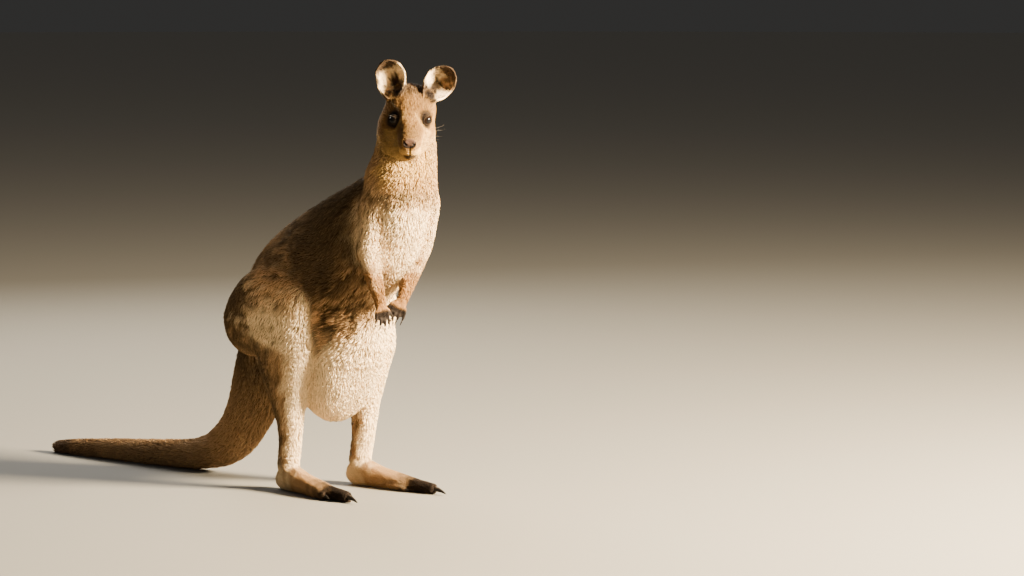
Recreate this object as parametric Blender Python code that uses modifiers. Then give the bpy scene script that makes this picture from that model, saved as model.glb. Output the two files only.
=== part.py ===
"""A life-size still model of a grey kangaroo doe, standing alert on both feet and the tail.

The animal faces -Y, with its left side towards +X and +Z up, in metres. The chest is turned a little to the
animal's right and the head further still. The outline is that of the coat's tips. Each mass is a loft of named
sections. The masses are joined by a voxel remesh, made light, and then parted into the pieces a person would name,
with a thin gap at each parting. The last step moves the model so that its frame starts under the box's middle.
"""

import math

import bmesh
import bpy
from mathutils import Matrix, Vector

# ---------------------------------------------------------------- driving dimensions, in metres and degrees
CHEST_YAW = 22.0  # how far the chest and the head are turned to the animal's right
HEAD_YAW = 45.0
HEAD_PITCH = 30.0  # how far the muzzle points down
FOOT_YAW = {-1: 6.0, 1: -5.0}  # how far each foot is turned to the animal's right

RIGHT, LEFT = -1, 1
SIDE_NAMES = {RIGHT: "right", LEFT: "left"}

SKULL = Vector((0.010, -0.338, 0.973))  # middle of the braincase
SHOULDER_MIDDLE = Vector((0.000, -0.316, 0.752))
SHOULDER_HALF = 0.063
HIPS = {RIGHT: Vector((-0.088, 0.170, 0.430)), LEFT: Vector((0.090, 0.150, 0.430))}
KNEES = {RIGHT: Vector((-0.116, -0.050, 0.470)), LEFT: Vector((0.134, -0.084, 0.462))}
ANKLES = {RIGHT: Vector((-0.090, 0.016, 0.055)), LEFT: Vector((0.106, -0.042, 0.055))}
ELBOWS = {RIGHT: Vector((-0.095, -0.289, 0.637)), LEFT: Vector((0.075, -0.308, 0.641))}
WRISTS = {RIGHT: Vector((-0.100, -0.342, 0.514)), LEFT: Vector((-0.012, -0.331, 0.516))}
HAND_AIMS = {RIGHT: Vector((0.02, -0.32, -1.00)), LEFT: Vector((-0.70, -0.06, -0.80))}

EYE_RADIUS = 0.0145
EYE_PLACE = (0.0378, 0.0335, 0.010)  # left of, along and above the muzzle's axis, from the braincase
EAR_LENGTH, EAR_WIDTH, EAR_THICK = 0.101, 0.078, 0.0050
EAR_LEANS = {-1: 0.20, 1: 0.96}  # sideways for each metre up
EAR_TIPS = {-1: 2.2, 1: 1.7}  # more is rounder
PALM_LENGTH, FINGER_LENGTH = 0.032, 0.035
FINGER_SPACE = 0.0086

NECK_TOP_AIM = Vector((-0.42, -0.45, 0.79))  # across the neck behind the jaw
NECK_BASE = (Vector((0.0, -0.300, 0.800)), Vector((0.0, -0.22, 1.0)))  # a point in the parting and its direction
WAIST = (Vector((0.0, -0.060, 0.600)), Vector((0.0, 0.80, -0.60)))
TAIL_CUTS = (Vector((-0.010, 0.350, 0.080)), Vector((-0.062, 0.700, 0.030)))
POUCH_REGION = (Vector((0.004, -0.075, 0.280)), (0.140, 0.140, 0.125))
LIMB_MARGIN = 0.007  # how far the parting surface round a limb lies outside the limb's own masses

GAP = 0.0003  # between a piece and its neighbour
MERGES = (0.0001, 0.00003, 0.000005, 0.0)  # points nearer than this are one after a cut, the widest first
FAR = 1.5  # longer than the animal, for the blocks that cut
VOXELS = {"body": 0.0045, "head": 0.0024, "hand": 0.0012, "foot": 0.0020, "ear": 0.0016}
TRIANGLES = {"body": 1840, "head": 880, "hand": 280, "foot": 190, "ear": 130, "region": 110}

PARTS = "grey_kangaroo"
CUTTERS = "cutters"
COAT_COLOUR = (0.30, 0.23, 0.15, 1.0)
EYE_COLOUR = (0.02, 0.012, 0.008, 1.0)
CLAW_COLOUR = (0.025, 0.022, 0.02, 1.0)


# ---------------------------------------------------------------- directions
def facing(yaw):
    """Forward and left of something turned this many degrees to the animal's right."""
    a = math.radians(yaw)
    return Vector((-math.sin(a), -math.cos(a), 0.0)), Vector((math.cos(a), -math.sin(a), 0.0))


def head_axes():
    """The head's own left, upward and muzzle directions."""
    ahead, left = facing(HEAD_YAW)
    dip = math.radians(HEAD_PITCH)
    muzzle = ahead * math.cos(dip) - Vector((0, 0, 1)) * math.sin(dip)
    return left, muzzle.cross(left), muzzle


def in_head(left_of, along, above):
    left, up, muzzle = head_axes()
    return SKULL + left * left_of + muzzle * along + up * above


def shoulder(side):
    return SHOULDER_MIDDLE + facing(CHEST_YAW)[1] * side * SHOULDER_HALF


# ---------------------------------------------------------------- mesh helpers
def collection(name):
    found = bpy.data.collections.get(name)
    if found is None:
        found = bpy.data.collections.new(name)
        bpy.context.scene.collection.children.link(found)
    return found


def new_object(name, bm, home=PARTS):
    mesh = bpy.data.meshes.new(name)
    bmesh.ops.recalc_face_normals(bm, faces=bm.faces)
    bm.to_mesh(mesh)
    bm.free()
    obj = bpy.data.objects.new(name, mesh)
    collection(home).objects.link(obj)
    return obj


def material(name, colour, roughness):
    made = bpy.data.materials.new(name)
    made.use_nodes = True
    shader = made.node_tree.nodes["Principled BSDF"]
    shader.inputs["Base Color"].default_value = colour
    shader.inputs["Roughness"].default_value = roughness
    made.diffuse_color = colour
    return made


def apply_modifiers(obj):
    """Turns the object's evaluated mesh into its own mesh."""
    graph = bpy.context.evaluated_depsgraph_get()
    mesh = bpy.data.meshes.new_from_object(obj.evaluated_get(graph))
    obj.modifiers.clear()
    old = obj.data
    obj.data = mesh
    bpy.data.meshes.remove(old)


def smooth_run(rows, steps):
    """A Catmull-Rom run through rows of numbers, with this many steps between each two."""
    first = [2 * a - b for a, b in zip(rows[0], rows[1])]
    last = [2 * a - b for a, b in zip(rows[-1], rows[-2])]
    run = [first, *rows, last]
    made = []
    for i in range(1, len(run) - 2):
        for k in range(steps):
            t = k / steps
            made.append([0.5 * (2 * b + (c - a) * t + (2 * a - 5 * b + 4 * c - d) * t * t
                                + (3 * b - a - 3 * c + d) * t ** 3)
                         for a, b, c, d in zip(run[i - 1], run[i], run[i + 1], run[i + 2])])
    made.append(list(rows[-1]))
    return made


def skin_rings(bm, rings):
    """Joins rings of vertices into a closed tube with flat ends."""
    for ring, other in zip(rings, rings[1:]):
        for k in range(len(ring)):
            after = (k + 1) % len(ring)
            bm.faces.new((ring[k], ring[after], other[after], other[k]))
    bm.faces.new(rings[0])
    bm.faces.new(rings[-1])


def loft(bm, stations, steps=4, around=20):
    """A closed body of oval sections. A station is its centre, the yaw of its left-hand direction, its half width,
    and its half depth on the back side and on the belly side."""
    rows = smooth_run([[*centre, *sizes] for centre, *sizes in stations], steps)
    centres = [Vector(row[:3]) for row in rows]
    rings = []
    for i, row in enumerate(rows):
        ahead = (centres[min(i + 1, len(rows) - 1)] - centres[max(i - 1, 0)]).normalized()
        side = facing(row[3])[1]
        side = (side - ahead * side.dot(ahead)).normalized()
        back = side.cross(ahead).normalized()
        width, up, down = (max(v, 0.001) for v in row[4:7])
        ring = []
        for k in range(around):
            a = 2 * math.pi * k / around
            depth = up if math.sin(a) > 0 else down
            ring.append(bm.verts.new(centres[i] + side * width * math.cos(a) + back * depth * math.sin(a)))
        rings.append(ring)
    skin_rings(bm, rings)


def rod(bm, start, end, start_radius, end_radius, steps=6, around=10):
    """A round-ended rod between two points."""
    line = end - start
    turn = line.to_track_quat("Z", "Y")
    rings = []
    run = [(0.0 - 0.9 * start_radius / line.length, 0.45), (-0.4 * start_radius / line.length, 0.85)]
    run += [(k / steps, 1.0) for k in range(steps + 1)]
    run += [(1.0 + 0.4 * end_radius / line.length, 0.85), (1.0 + 0.9 * end_radius / line.length, 0.45)]
    for share, scale in run:
        radius = scale * (start_radius + (end_radius - start_radius) * min(max(share, 0.0), 1.0))
        ring = [bm.verts.new(start + line * share + turn @ Vector((radius * math.cos(2 * math.pi * k / around),
                                                                   radius * math.sin(2 * math.pi * k / around), 0)))
                for k in range(around)]
        rings.append(ring)
    skin_rings(bm, rings)


def egg(bm, centre, radii):
    place = Matrix.Translation(centre) @ Matrix.Diagonal((*radii, 1.0))
    bmesh.ops.create_uvsphere(bm, u_segments=20, v_segments=12, radius=1.0, matrix=place)


def head_egg(bm, place, radii):
    """An egg-shaped mass in the head's frame: radii to its left, along and above the muzzle's axis."""
    left, up, muzzle = head_axes()
    turn = Matrix((left, muzzle, up)).transposed().to_4x4()
    matrix = Matrix.Translation(in_head(*place)) @ turn @ Matrix.Diagonal((*radii, 1.0))
    bmesh.ops.create_uvsphere(bm, u_segments=20, v_segments=12, radius=1.0, matrix=matrix)


def rest_on_floor(obj):
    """Flattens whatever reaches below the floor."""
    for vertex in obj.data.vertices:
        if vertex.co.z < 0.0006:
            vertex.co.z = 0.0


def one_flesh(name, bm, kind, smoothing, finer=None):
    """Joins the masses in bm into one smooth closed body of a set number of triangles. The finer function gives
    each vertex a share from 0 to 1 for how much its neighbourhood is spared when triangles are merged."""
    obj = new_object(name, bm)
    remesh = obj.modifiers.new("Join", "REMESH")
    remesh.mode = "VOXEL"
    remesh.voxel_size = VOXELS[kind]
    soften = obj.modifiers.new("Soften", "SMOOTH")
    soften.factor = 0.5
    soften.iterations = smoothing
    apply_modifiers(obj)
    rest_on_floor(obj)
    obj.data.update()
    merge_down(obj, kind, finer)
    rest_on_floor(obj)
    return obj


def merge_down(obj, kind, finer=None):
    """Merges triangles until the object has the number that TRIANGLES gives for its kind."""
    count = sum(len(face.vertices) - 2 for face in obj.data.polygons)
    fewer = obj.modifiers.new("Fewer", "DECIMATE")
    fewer.use_collapse_triangulate = True
    fewer.ratio = TRIANGLES[kind] / count
    if finer:
        group = obj.vertex_groups.new(name="spared")
        for vertex in obj.data.vertices:
            group.add([vertex.index], 1.0 - finer(vertex.co), "REPLACE")
        fewer.vertex_group = group.name
        fewer.vertex_group_factor = 1.0
    apply_modifiers(obj)


def welded(obj):
    """The object's mesh with its near points merged, at the widest distance that leaves it closed."""
    for distance in MERGES:
        bm = bmesh.new()
        bm.from_mesh(obj.data)
        if distance > 0.0:
            bmesh.ops.remove_doubles(bm, verts=bm.verts, dist=distance)
        if distance == MERGES[-1] or all(len(edge.link_faces) == 2 for edge in bm.edges):
            return bm
        bm.free()


def boolean(obj, cutter, operation):
    """Applies an exact Boolean and keeps the largest piece that is left."""
    step = obj.modifiers.new(operation.title(), "BOOLEAN")
    step.operation = operation
    step.object = cutter
    step.solver = "EXACT"
    apply_modifiers(obj)
    bm = welded(obj)
    unseen, pieces = set(bm.verts), []
    while unseen:
        grown, piece = [unseen.pop()], []
        while grown:
            vertex = grown.pop()
            piece.append(vertex)
            for edge in vertex.link_edges:
                other = edge.other_vert(vertex)
                if other in unseen:
                    unseen.remove(other)
                    grown.append(other)
        pieces.append(piece)
    largest = max(pieces, key=len)
    bmesh.ops.delete(bm, geom=[v for piece in pieces if piece is not largest for v in piece], context="VERTS")
    bmesh.ops.triangulate(bm, faces=bm.faces)
    bm.to_mesh(obj.data)
    bm.free()


def copy_of(obj, name):
    made = bpy.data.objects.new(name, obj.data.copy())
    collection(PARTS).objects.link(made)
    return made


def hide_cutter(obj):
    obj.hide_render = True
    obj.display_type = "WIRE"


def grown(obj, by):
    """A cutter of this object's shape, larger all round by a small distance."""
    bm = bmesh.new()
    bm.from_mesh(obj.data)
    bm.normal_update()
    for vertex, normal in [(v, v.normal.copy()) for v in bm.verts]:
        vertex.co += normal * by
    made = new_object(obj.name + "_room", bm, CUTTERS)
    hide_cutter(made)
    return made


def split(obj, region, name):
    """Takes the part of obj inside the region as a new object, and leaves the rest, with a gap between them."""
    taken = copy_of(obj, name)
    boolean(taken, region, "INTERSECT")
    room = grown(region, GAP)
    boolean(obj, room, "DIFFERENCE")
    return taken


def half_space(point, direction):
    """A block that fills everything ahead of a plane."""
    bm = bmesh.new()
    turn = direction.to_track_quat("Z", "Y").to_matrix().to_4x4()
    place = Matrix.Translation(point + direction.normalized() * FAR / 2) @ turn
    bmesh.ops.create_cube(bm, size=FAR, matrix=place)
    block = new_object("block", bm, CUTTERS)
    hide_cutter(block)
    return block


def split_at(obj, point, direction, name):
    """Takes what lies ahead of a plane as a new object, and leaves what lies behind it."""
    return split(obj, half_space(point, direction), name)


def keep_ahead(obj, point, direction):
    boolean(obj, half_space(point + direction.normalized() * GAP, direction), "INTERSECT")


# ---------------------------------------------------------------- trunk, neck, tail and limbs
def profile_station(back, belly, width, yaw=0.0):
    """A trunk section from its back and belly points in the side view, as y and z."""
    middle = Vector((0.0, (back[0] + belly[0]) / 2, (back[1] + belly[1]) / 2))
    half = math.dist(back, belly) / 2
    return middle, yaw, width, half, half


def trunk_masses(bm):
    loft(bm, [
        profile_station((0.238, 0.356), (0.140, 0.336), 0.050),
        profile_station((0.258, 0.408), (0.080, 0.345), 0.100),
        profile_station((0.250, 0.475), (0.010, 0.350), 0.121),
        profile_station((0.225, 0.548), (-0.045, 0.350), 0.133),
        profile_station((0.174, 0.614), (-0.106, 0.380), 0.136, 3),
        profile_station((0.085, 0.678), (-0.172, 0.430), 0.131, 7),
        profile_station((-0.012, 0.731), (-0.244, 0.490), 0.120, 11),
        profile_station((-0.094, 0.774), (-0.314, 0.555), 0.109, 15),
        profile_station((-0.160, 0.812), (-0.362, 0.624), 0.096, 19),
        profile_station((-0.210, 0.832), (-0.392, 0.700), 0.084, 23),
        profile_station((-0.252, 0.845), (-0.388, 0.766), 0.066, 27),
        profile_station((-0.280, 0.850), (-0.368, 0.806), 0.040, 30),
    ])
    loft(bm, [(Vector((0.003, y, z)), 0, width, depth, depth) for y, z, width, depth in (
        # the belly and the full pouch that hangs between the legs
        (-0.110, 0.520, 0.080, 0.090),
        (-0.108, 0.470, 0.106, 0.118),
        (-0.098, 0.400, 0.112, 0.118),
        (-0.082, 0.330, 0.110, 0.108),
        (-0.066, 0.262, 0.098, 0.088),
        (-0.054, 0.208, 0.070, 0.058),
        (-0.048, 0.180, 0.028, 0.026),
    )])


def neck_mass(bm, grow=0.0):
    rows = [
        (Vector((-0.002, -0.306, 0.755)), 24, 0.092, 0.088, 0.080),
        (Vector((-0.004, -0.317, 0.812)), 32, 0.095, 0.088, 0.072),
        (Vector((0.002, -0.324, 0.862)), 38, 0.082, 0.074, 0.061),
        (Vector((0.008, -0.324, 0.915)), 42, 0.076, 0.066, 0.051),
        (Vector((0.012, -0.318, 0.962)), 44, 0.070, 0.056, 0.044),
        (Vector((0.012, -0.314, 1.008)), 44, 0.048, 0.040, 0.036),
    ]
    loft(bm, [(centre, yaw, w + grow, a + grow, b + grow) for centre, yaw, w, a, b in rows])


def leg_masses(bm, side, grow=0.0):
    hip, knee, ankle = HIPS[side], KNEES[side], ANKLES[side]
    thigh = [
        # share of the way from hip to knee, rise, half width, half depth above and below
        (-0.26, -0.046, 0.024, 0.030, 0.042),
        (-0.15, -0.033, 0.047, 0.068, 0.078),
        (0.08, -0.008, 0.062, 0.108, 0.104),
        (0.38, 0.014, 0.071, 0.150, 0.114),
        (0.68, 0.010, 0.069, 0.148, 0.106),
        (0.99, -0.002, 0.054, 0.094, 0.088),
        (1.19, -0.018, 0.026, 0.038, 0.044),
    ]
    loft(bm, [(hip.lerp(knee, share) + Vector((0, 0, rise)), 0, w + grow, a + grow, b + grow)
              for share, rise, w, a, b in thigh])
    shank = [
        # share of the way from knee to ankle, shift back, half width, half depth behind and ahead
        (0.02, 0.004, 0.036, 0.050, 0.044),
        (0.13, 0.012, 0.054, 0.092, 0.074),
        (0.27, 0.026, 0.055, 0.102, 0.086),
        (0.39, 0.026, 0.049, 0.094, 0.077),
        (0.50, 0.020, 0.042, 0.074, 0.065),
        (0.61, 0.010, 0.035, 0.054, 0.050),
        (0.72, 0.002, 0.0300, 0.042, 0.0385),
        (0.83, -0.002, 0.0275, 0.037, 0.033),
        (0.93, 0.000, 0.0270, 0.035, 0.031),
        (1.03, 0.002, 0.0265, 0.035, 0.030),
        (1.08, 0.002, 0.015, 0.024, 0.020),
    ]
    loft(bm, [(knee.lerp(ankle, share) + Vector((0, back, 0)), 0, w + grow, a + grow, b + grow)
              for share, back, w, a, b in shank])


def arm_masses(bm, side, grow=0.0):
    joint, elbow, wrist = shoulder(side), ELBOWS[side], WRISTS[side]
    upper = [
        (joint + Vector((0, 0.010, 0.052)), 0.016, 0.022, 0.022),
        (joint + Vector((0, 0.006, 0.014)), 0.041, 0.046, 0.044),
        (joint.lerp(elbow, 0.5), 0.034, 0.043, 0.040),
        (elbow, 0.027, 0.032, 0.031),
        (elbow.lerp(wrist, 0.12) + Vector((0, 0, -0.012)), 0.016, 0.020, 0.020),
    ]
    loft(bm, [(centre, CHEST_YAW, w + grow, a + grow, b + grow) for centre, w, a, b in upper])
    fore = [
        (elbow.lerp(wrist, -0.12), 0.016, 0.018, 0.018),
        (elbow, 0.027, 0.029, 0.029),
        (elbow.lerp(wrist, 0.30), 0.025, 0.026, 0.025),
        (elbow.lerp(wrist, 0.65), 0.0215, 0.0205, 0.0205),
        (wrist, 0.0160, 0.0150, 0.0150),
        (wrist + HAND_AIMS[side].normalized() * 0.012, 0.0140, 0.0110, 0.0110),
    ]
    loft(bm, [(centre, CHEST_YAW, w + grow, a + grow, b + grow) for centre, w, a, b in fore])


def tail_mass(bm, grow=0.0):
    rows = [
        (Vector((0.000, 0.140, 0.400)), 0.060, 0.060, 0.060),
        (Vector((0.000, 0.194, 0.330)), 0.074, 0.084, 0.076),
        (Vector((0.000, 0.230, 0.255)), 0.068, 0.080, 0.080),
        (Vector((-0.004, 0.268, 0.172)), 0.059, 0.067, 0.075),
        (Vector((-0.012, 0.332, 0.094)), 0.052, 0.055, 0.066),
        (Vector((-0.024, 0.430, 0.048)), 0.043, 0.043, 0.045),
        (Vector((-0.042, 0.570, 0.036)), 0.037, 0.037, 0.038),
        (Vector((-0.062, 0.720, 0.030)), 0.031, 0.031, 0.032),
        (Vector((-0.084, 0.880, 0.023)), 0.024, 0.024, 0.025),
        (Vector((-0.098, 0.968, 0.018)), 0.017, 0.017, 0.019),
        (Vector((-0.102, 0.996, 0.015)), 0.007, 0.007, 0.009),
    ]
    loft(bm, [(centre, 0, w + grow, a + grow, b + grow) for centre, w, a, b in rows])


# ---------------------------------------------------------------- head
def head_mass(bm):
    left, up, muzzle = head_axes()
    rows = [
        # along the muzzle, rise of the middle, half width, height above and below the middle
        (-0.086, 0.006, 0.026, 0.026, 0.030),
        (-0.072, 0.006, 0.048, 0.044, 0.054),
        (-0.044, 0.004, 0.062, 0.053, 0.070),
        (-0.012, 0.002, 0.062, 0.052, 0.074),
        (0.016, 0.000, 0.0550, 0.0475, 0.069),
        (0.042, -0.002, 0.0405, 0.039, 0.059),
        (0.068, -0.004, 0.0340, 0.031, 0.053),
        (0.094, -0.005, 0.0300, 0.0255, 0.048),
        (0.112, -0.006, 0.0285, 0.0230, 0.045),
        (0.124, -0.009, 0.0220, 0.0185, 0.034),
        (0.131, -0.012, 0.0120, 0.0115, 0.0190),
    ]
    around, rings = 24, []
    for along, rise, width, above, below in smooth_run(rows, 4):
        ring = []
        for k in range(around):
            a = 2 * math.pi * k / around
            high = (above if math.sin(a) > 0 else below) * math.sin(a)
            ring.append(bm.verts.new(SKULL + muzzle * along + up * (rise + high) + left * width * math.cos(a)))
        rings.append(ring)
    skin_rings(bm, rings)
    for side in (RIGHT, LEFT):
        head_egg(bm, (side * 0.034, 0.028, -0.027), (0.018, 0.046, 0.025))  # cheekbone
        head_egg(bm, (side * 0.038, -0.010, -0.034), (0.021, 0.038, 0.033))  # jaw's corner
        head_egg(bm, (side * 0.0130, 0.108, -0.029), (0.0150, 0.021, 0.016))  # upper lip
        head_egg(bm, (side * 0.0100, 0.1245, -0.003), (0.0110, 0.0090, 0.0095))  # nostril's wing
        head_egg(bm, (side * 0.040, -0.034, 0.032), (0.024, 0.024, 0.022))  # root of the ear
    head_egg(bm, (0.0, 0.106, -0.050), (0.0140, 0.0150, 0.0070))  # chin
    head_egg(bm, (0.0, -0.040, 0.042), (0.034, 0.036, 0.022))  # crown


def ear(side):
    """A cupped ear: a curved sheet, wide in the middle, rolled into a tube at its root."""
    left, up, muzzle = head_axes()
    lean = EAR_LEANS[side]
    axis = (Vector((0, 0, 1)) + left * side * lean - muzzle * 0.05).normalized()
    mouth = (facing(HEAD_YAW)[0] + left * side * {RIGHT: 0.10, LEFT: 0.05}[side])
    mouth = (mouth - axis * mouth.dot(axis)).normalized()
    across = axis.cross(mouth).normalized()
    root = in_head(side * 0.043, -0.030, 0.040)
    bm = bmesh.new()
    rows, columns = 14, 12
    grid = []
    for i in range(rows + 1):
        t = i / rows
        half = EAR_WIDTH / 2 * (0.36 + 0.64 * math.sin(math.pi * min(t / 0.60, 1.0) / 2)) \
            * math.sqrt(max(1.0 - max((t - 0.55) / 0.45, 0.0) ** EAR_TIPS[side], 0.02))
        roll = math.radians(150 - 92 * min(t / 0.55, 1.0))
        radius = half / math.sin(min(roll, math.pi / 2))
        line = []
        for k in range(columns + 1):
            a = roll * (2 * k / columns - 1)
            bulge = radius * (1 - math.cos(a)) - 0.012 * math.sin(math.pi * t)
            line.append(bm.verts.new(root + axis * EAR_LENGTH * (t - 0.10) + across * radius * math.sin(a)
                                     + mouth * (bulge - radius * 0.6)))
        grid.append(line)
    for i in range(rows):
        for k in range(columns):
            bm.faces.new((grid[i][k], grid[i][k + 1], grid[i + 1][k + 1], grid[i + 1][k]))
    name = f"ear_{SIDE_NAMES[side]}"
    obj = new_object(name, bm)
    thick = obj.modifiers.new("Thick", "SOLIDIFY")
    thick.thickness = EAR_THICK
    thick.offset = 0.0
    apply_modifiers(obj)
    bm = bmesh.new()
    bm.from_mesh(obj.data)
    bpy.data.objects.remove(obj)
    return one_flesh(name, bm, "ear", 3)


def eye(side):
    bm = bmesh.new()
    place = Matrix.Translation(in_head(side * EYE_PLACE[0], EYE_PLACE[1], EYE_PLACE[2]))
    bmesh.ops.create_uvsphere(bm, u_segments=10, v_segments=7, radius=EYE_RADIUS, matrix=place)
    return new_object(f"eye_{SIDE_NAMES[side]}", bm)


# ---------------------------------------------------------------- claws, hands and feet
def claw(name, root, aim, curl, length, radius, around=5, rings=3):
    """A tapered claw that bends from its aim towards curl."""
    bm = bmesh.new()
    aim, curl = aim.normalized(), curl.normalized()
    side = aim.cross(curl).normalized()
    made = []
    for i in range(rings):
        t = i / rings
        centre = root + aim * length * t + curl * length * 0.28 * t * t
        size = radius * (1 - t) ** 0.75
        made.append([bm.verts.new(centre + side * size * 0.8 * math.cos(2 * math.pi * k / around)
                                  + curl * size * math.sin(2 * math.pi * k / around)) for k in range(around)])
    skin_rings(bm, made)
    last = [face for face in bm.faces if set(face.verts) == set(made[-1])]
    bmesh.ops.delete(bm, geom=last, context="FACES_ONLY")
    tip = bm.verts.new(root + aim * length + curl * length * 0.28)
    for k in range(around):
        bm.faces.new((made[-1][k], made[-1][(k + 1) % around], tip))
    return new_object(name, bm)


def seat(flesh, pieces, name):
    """Cuts room for the pieces in the flesh, with a gap all round."""
    for piece in pieces:
        boolean(flesh, grown(piece, GAP), "DIFFERENCE")
    flesh.name = name


def hand(side):
    """A palm with five short fingers that hang together, and a claw on each."""
    wrist, aim = WRISTS[side], HAND_AIMS[side].normalized()
    back = facing({RIGHT: 10.0, LEFT: 40.0}[side])[0]
    back = (back - aim * back.dot(aim)).normalized()
    across = aim.cross(back).normalized()
    bm = bmesh.new()
    rod(bm, ELBOWS[side].lerp(wrist, 0.80), wrist, 0.0175, 0.0135)
    rod(bm, wrist, wrist + aim * 0.010, 0.0138, 0.0125)
    for k in (-1, 0, 1):
        rod(bm, wrist + across * k * 0.004, wrist + aim * PALM_LENGTH * 0.9 + across * k * 0.0105, 0.0095, 0.0075)
    claws = []
    for k in range(5):
        fan = (k - 2) / 2
        spread = across * fan * 0.34
        start = wrist + aim * PALM_LENGTH * (0.92 - 0.22 * abs(fan)) + across * (k - 2) * FINGER_SPACE
        bend = start + (aim + spread + back * 0.10).normalized() * FINGER_LENGTH * 0.55
        end = bend + (aim + spread * 0.5 - back * 0.45).normalized() * FINGER_LENGTH * 0.40 * (1.1 - 0.2 * abs(fan))
        rod(bm, start, bend, 0.0050, 0.0043, steps=3)
        rod(bm, bend, end, 0.0043, 0.0038, steps=3)
        reach = (end - bend).normalized()
        claws.append(claw(f"finger_claw_{SIDE_NAMES[side]}_{k + 1}", end + reach * 0.0015, reach, -back,
                          0.0135, 0.0032))
    flesh = one_flesh(f"hand_{SIDE_NAMES[side]}", bm, "hand", 2)
    keep_ahead(flesh, wrist, aim)
    seat(flesh, claws, flesh.name)
    return flesh


def foot(side):
    """A long narrow foot: the heel, the large fourth toe, the fifth beside it and the two joined small ones."""
    ahead, left = facing(FOOT_YAW[side])
    outer = left * side
    ankle = ANKLES[side]
    heel = Vector((ankle.x, ankle.y, 0.0))

    def at(along, out, high):
        return heel + ahead * along + outer * out + Vector((0, 0, high))

    bm = bmesh.new()
    rows = [
        # along from the ankle, outward, height of the middle, half width and half height
        (-0.040, 0.000, 0.024, 0.012, 0.014),
        (-0.028, 0.000, 0.026, 0.022, 0.027),
        (0.000, 0.000, 0.033, 0.026, 0.034),
        (0.035, 0.001, 0.032, 0.027, 0.033),
        (0.075, 0.002, 0.026, 0.027, 0.027),
        (0.120, 0.003, 0.022, 0.029, 0.023),
        (0.155, 0.004, 0.019, 0.028, 0.020),
        (0.180, 0.003, 0.017, 0.020, 0.0185),
        (0.222, 0.001, 0.015, 0.0155, 0.0165),
        (0.252, 0.000, 0.0135, 0.0145, 0.0150),
        (0.262, 0.000, 0.012, 0.0095, 0.0105),
    ]
    loft(bm, [(at(along, out, high), FOOT_YAW[side], w, h, h) for along, out, high, w, h in rows])
    rod(bm, ankle + Vector((0, 0.001, 0.060)), ankle, 0.0275, 0.0290)
    rod(bm, at(0.125, 0.016, 0.015), at(0.188, 0.0255, 0.012), 0.0155, 0.0110)
    for k in (0, 1):
        rod(bm, at(0.120, -0.014 - 0.006 * k, 0.013), at(0.176, -0.0165 - 0.0065 * k, 0.008), 0.010, 0.0062)
    down = Vector((0, 0, -1))
    place = SIDE_NAMES[side]
    claws = [
        claw(f"toe_claw_{place}_4", at(0.256, 0.0, 0.0145), ahead, down, 0.044, 0.0085, around=8, rings=4),
        claw(f"toe_claw_{place}_5", at(0.193, 0.026, 0.0120), ahead + outer * 0.15, down, 0.026, 0.0062),
        claw(f"toe_claw_{place}_2", at(0.178, -0.0230, 0.0078), ahead, down, 0.013, 0.0032),
        claw(f"toe_claw_{place}_3", at(0.178, -0.0165, 0.0078), ahead, down, 0.013, 0.0032),
    ]
    for piece in claws:
        rest_on_floor(piece)
    flesh = one_flesh(f"foot_{place}", bm, "foot", 3)
    boolean(flesh, half_space(ankle + Vector((0, 0, 0.012 - GAP)), down), "INTERSECT")
    seat(flesh, claws, flesh.name)
    return flesh


# ---------------------------------------------------------------- the whole animal
def parted_head(neck_plane):
    """The head in finer triangles than the body, cut behind the jaw, with its eyes and ears seated in it."""
    bm = bmesh.new()
    head_mass(bm)
    neck_mass(bm)
    muzzle_middle = in_head(0.0, 0.090, 0.0)

    def finer(place):
        return 0.75 if (place - muzzle_middle).length < 0.085 else 0.0

    head = one_flesh("head", bm, "head", 6, finer)
    keep_ahead(head, *neck_plane)
    eyes = [eye(side) for side in (RIGHT, LEFT)]
    seat(head, eyes, "head")
    ears = [ear(side) for side in (RIGHT, LEFT)]
    for piece in ears:
        boolean(piece, grown(head, GAP), "DIFFERENCE")
    return head


def parted_body(neck_plane):
    """The trunk, neck, tail and limbs, cut from one body whose skin runs smoothly from each to the next."""
    bm = bmesh.new()
    trunk_masses(bm)
    neck_mass(bm)
    tail_mass(bm)
    head_mass(bm)
    for side in (RIGHT, LEFT):
        leg_masses(bm, side)
        arm_masses(bm, side)
    chest = one_flesh("chest", bm, "body", 15)
    for side in (RIGHT, LEFT):
        name = SIDE_NAMES[side]
        thigh = split(chest, region(lambda made: leg_masses(made, side, LIMB_MARGIN)), f"thigh_{name}")
        shank = split_at(thigh, KNEES[side] + Vector((0, 0.02, -0.085)), Vector((0, 0.25, -1)), f"shank_{name}")
        boolean(shank, half_space(ANKLES[side] + Vector((0, 0, 0.012)), Vector((0, 0, 1))), "INTERSECT")
        upper = split(chest, region(lambda made: arm_masses(made, side, LIMB_MARGIN)), f"upper_arm_{name}")
        aim = (WRISTS[side] - ELBOWS[side]).normalized() + (ELBOWS[side] - shoulder(side)).normalized()
        fore = split_at(upper, ELBOWS[side], aim, f"forearm_{name}")
        boolean(fore, half_space(WRISTS[side], -HAND_AIMS[side]), "INTERSECT")
    tail = split(chest, region(lambda made: tail_mass(made, LIMB_MARGIN)), "tail_base")
    middle = split_at(tail, TAIL_CUTS[0], Vector((-0.1, 0.9, -0.25)), "tail_middle")
    split_at(middle, TAIL_CUTS[1], Vector((-0.13, 1, 0)), "tail_tip")
    boolean(chest, half_space(neck_plane[0], -neck_plane[1]), "INTERSECT")
    split_at(chest, *NECK_BASE, "neck")
    abdomen = split_at(chest, *WAIST, "abdomen")
    split(abdomen, region(lambda made: egg(made, *POUCH_REGION)), "pouch")


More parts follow.
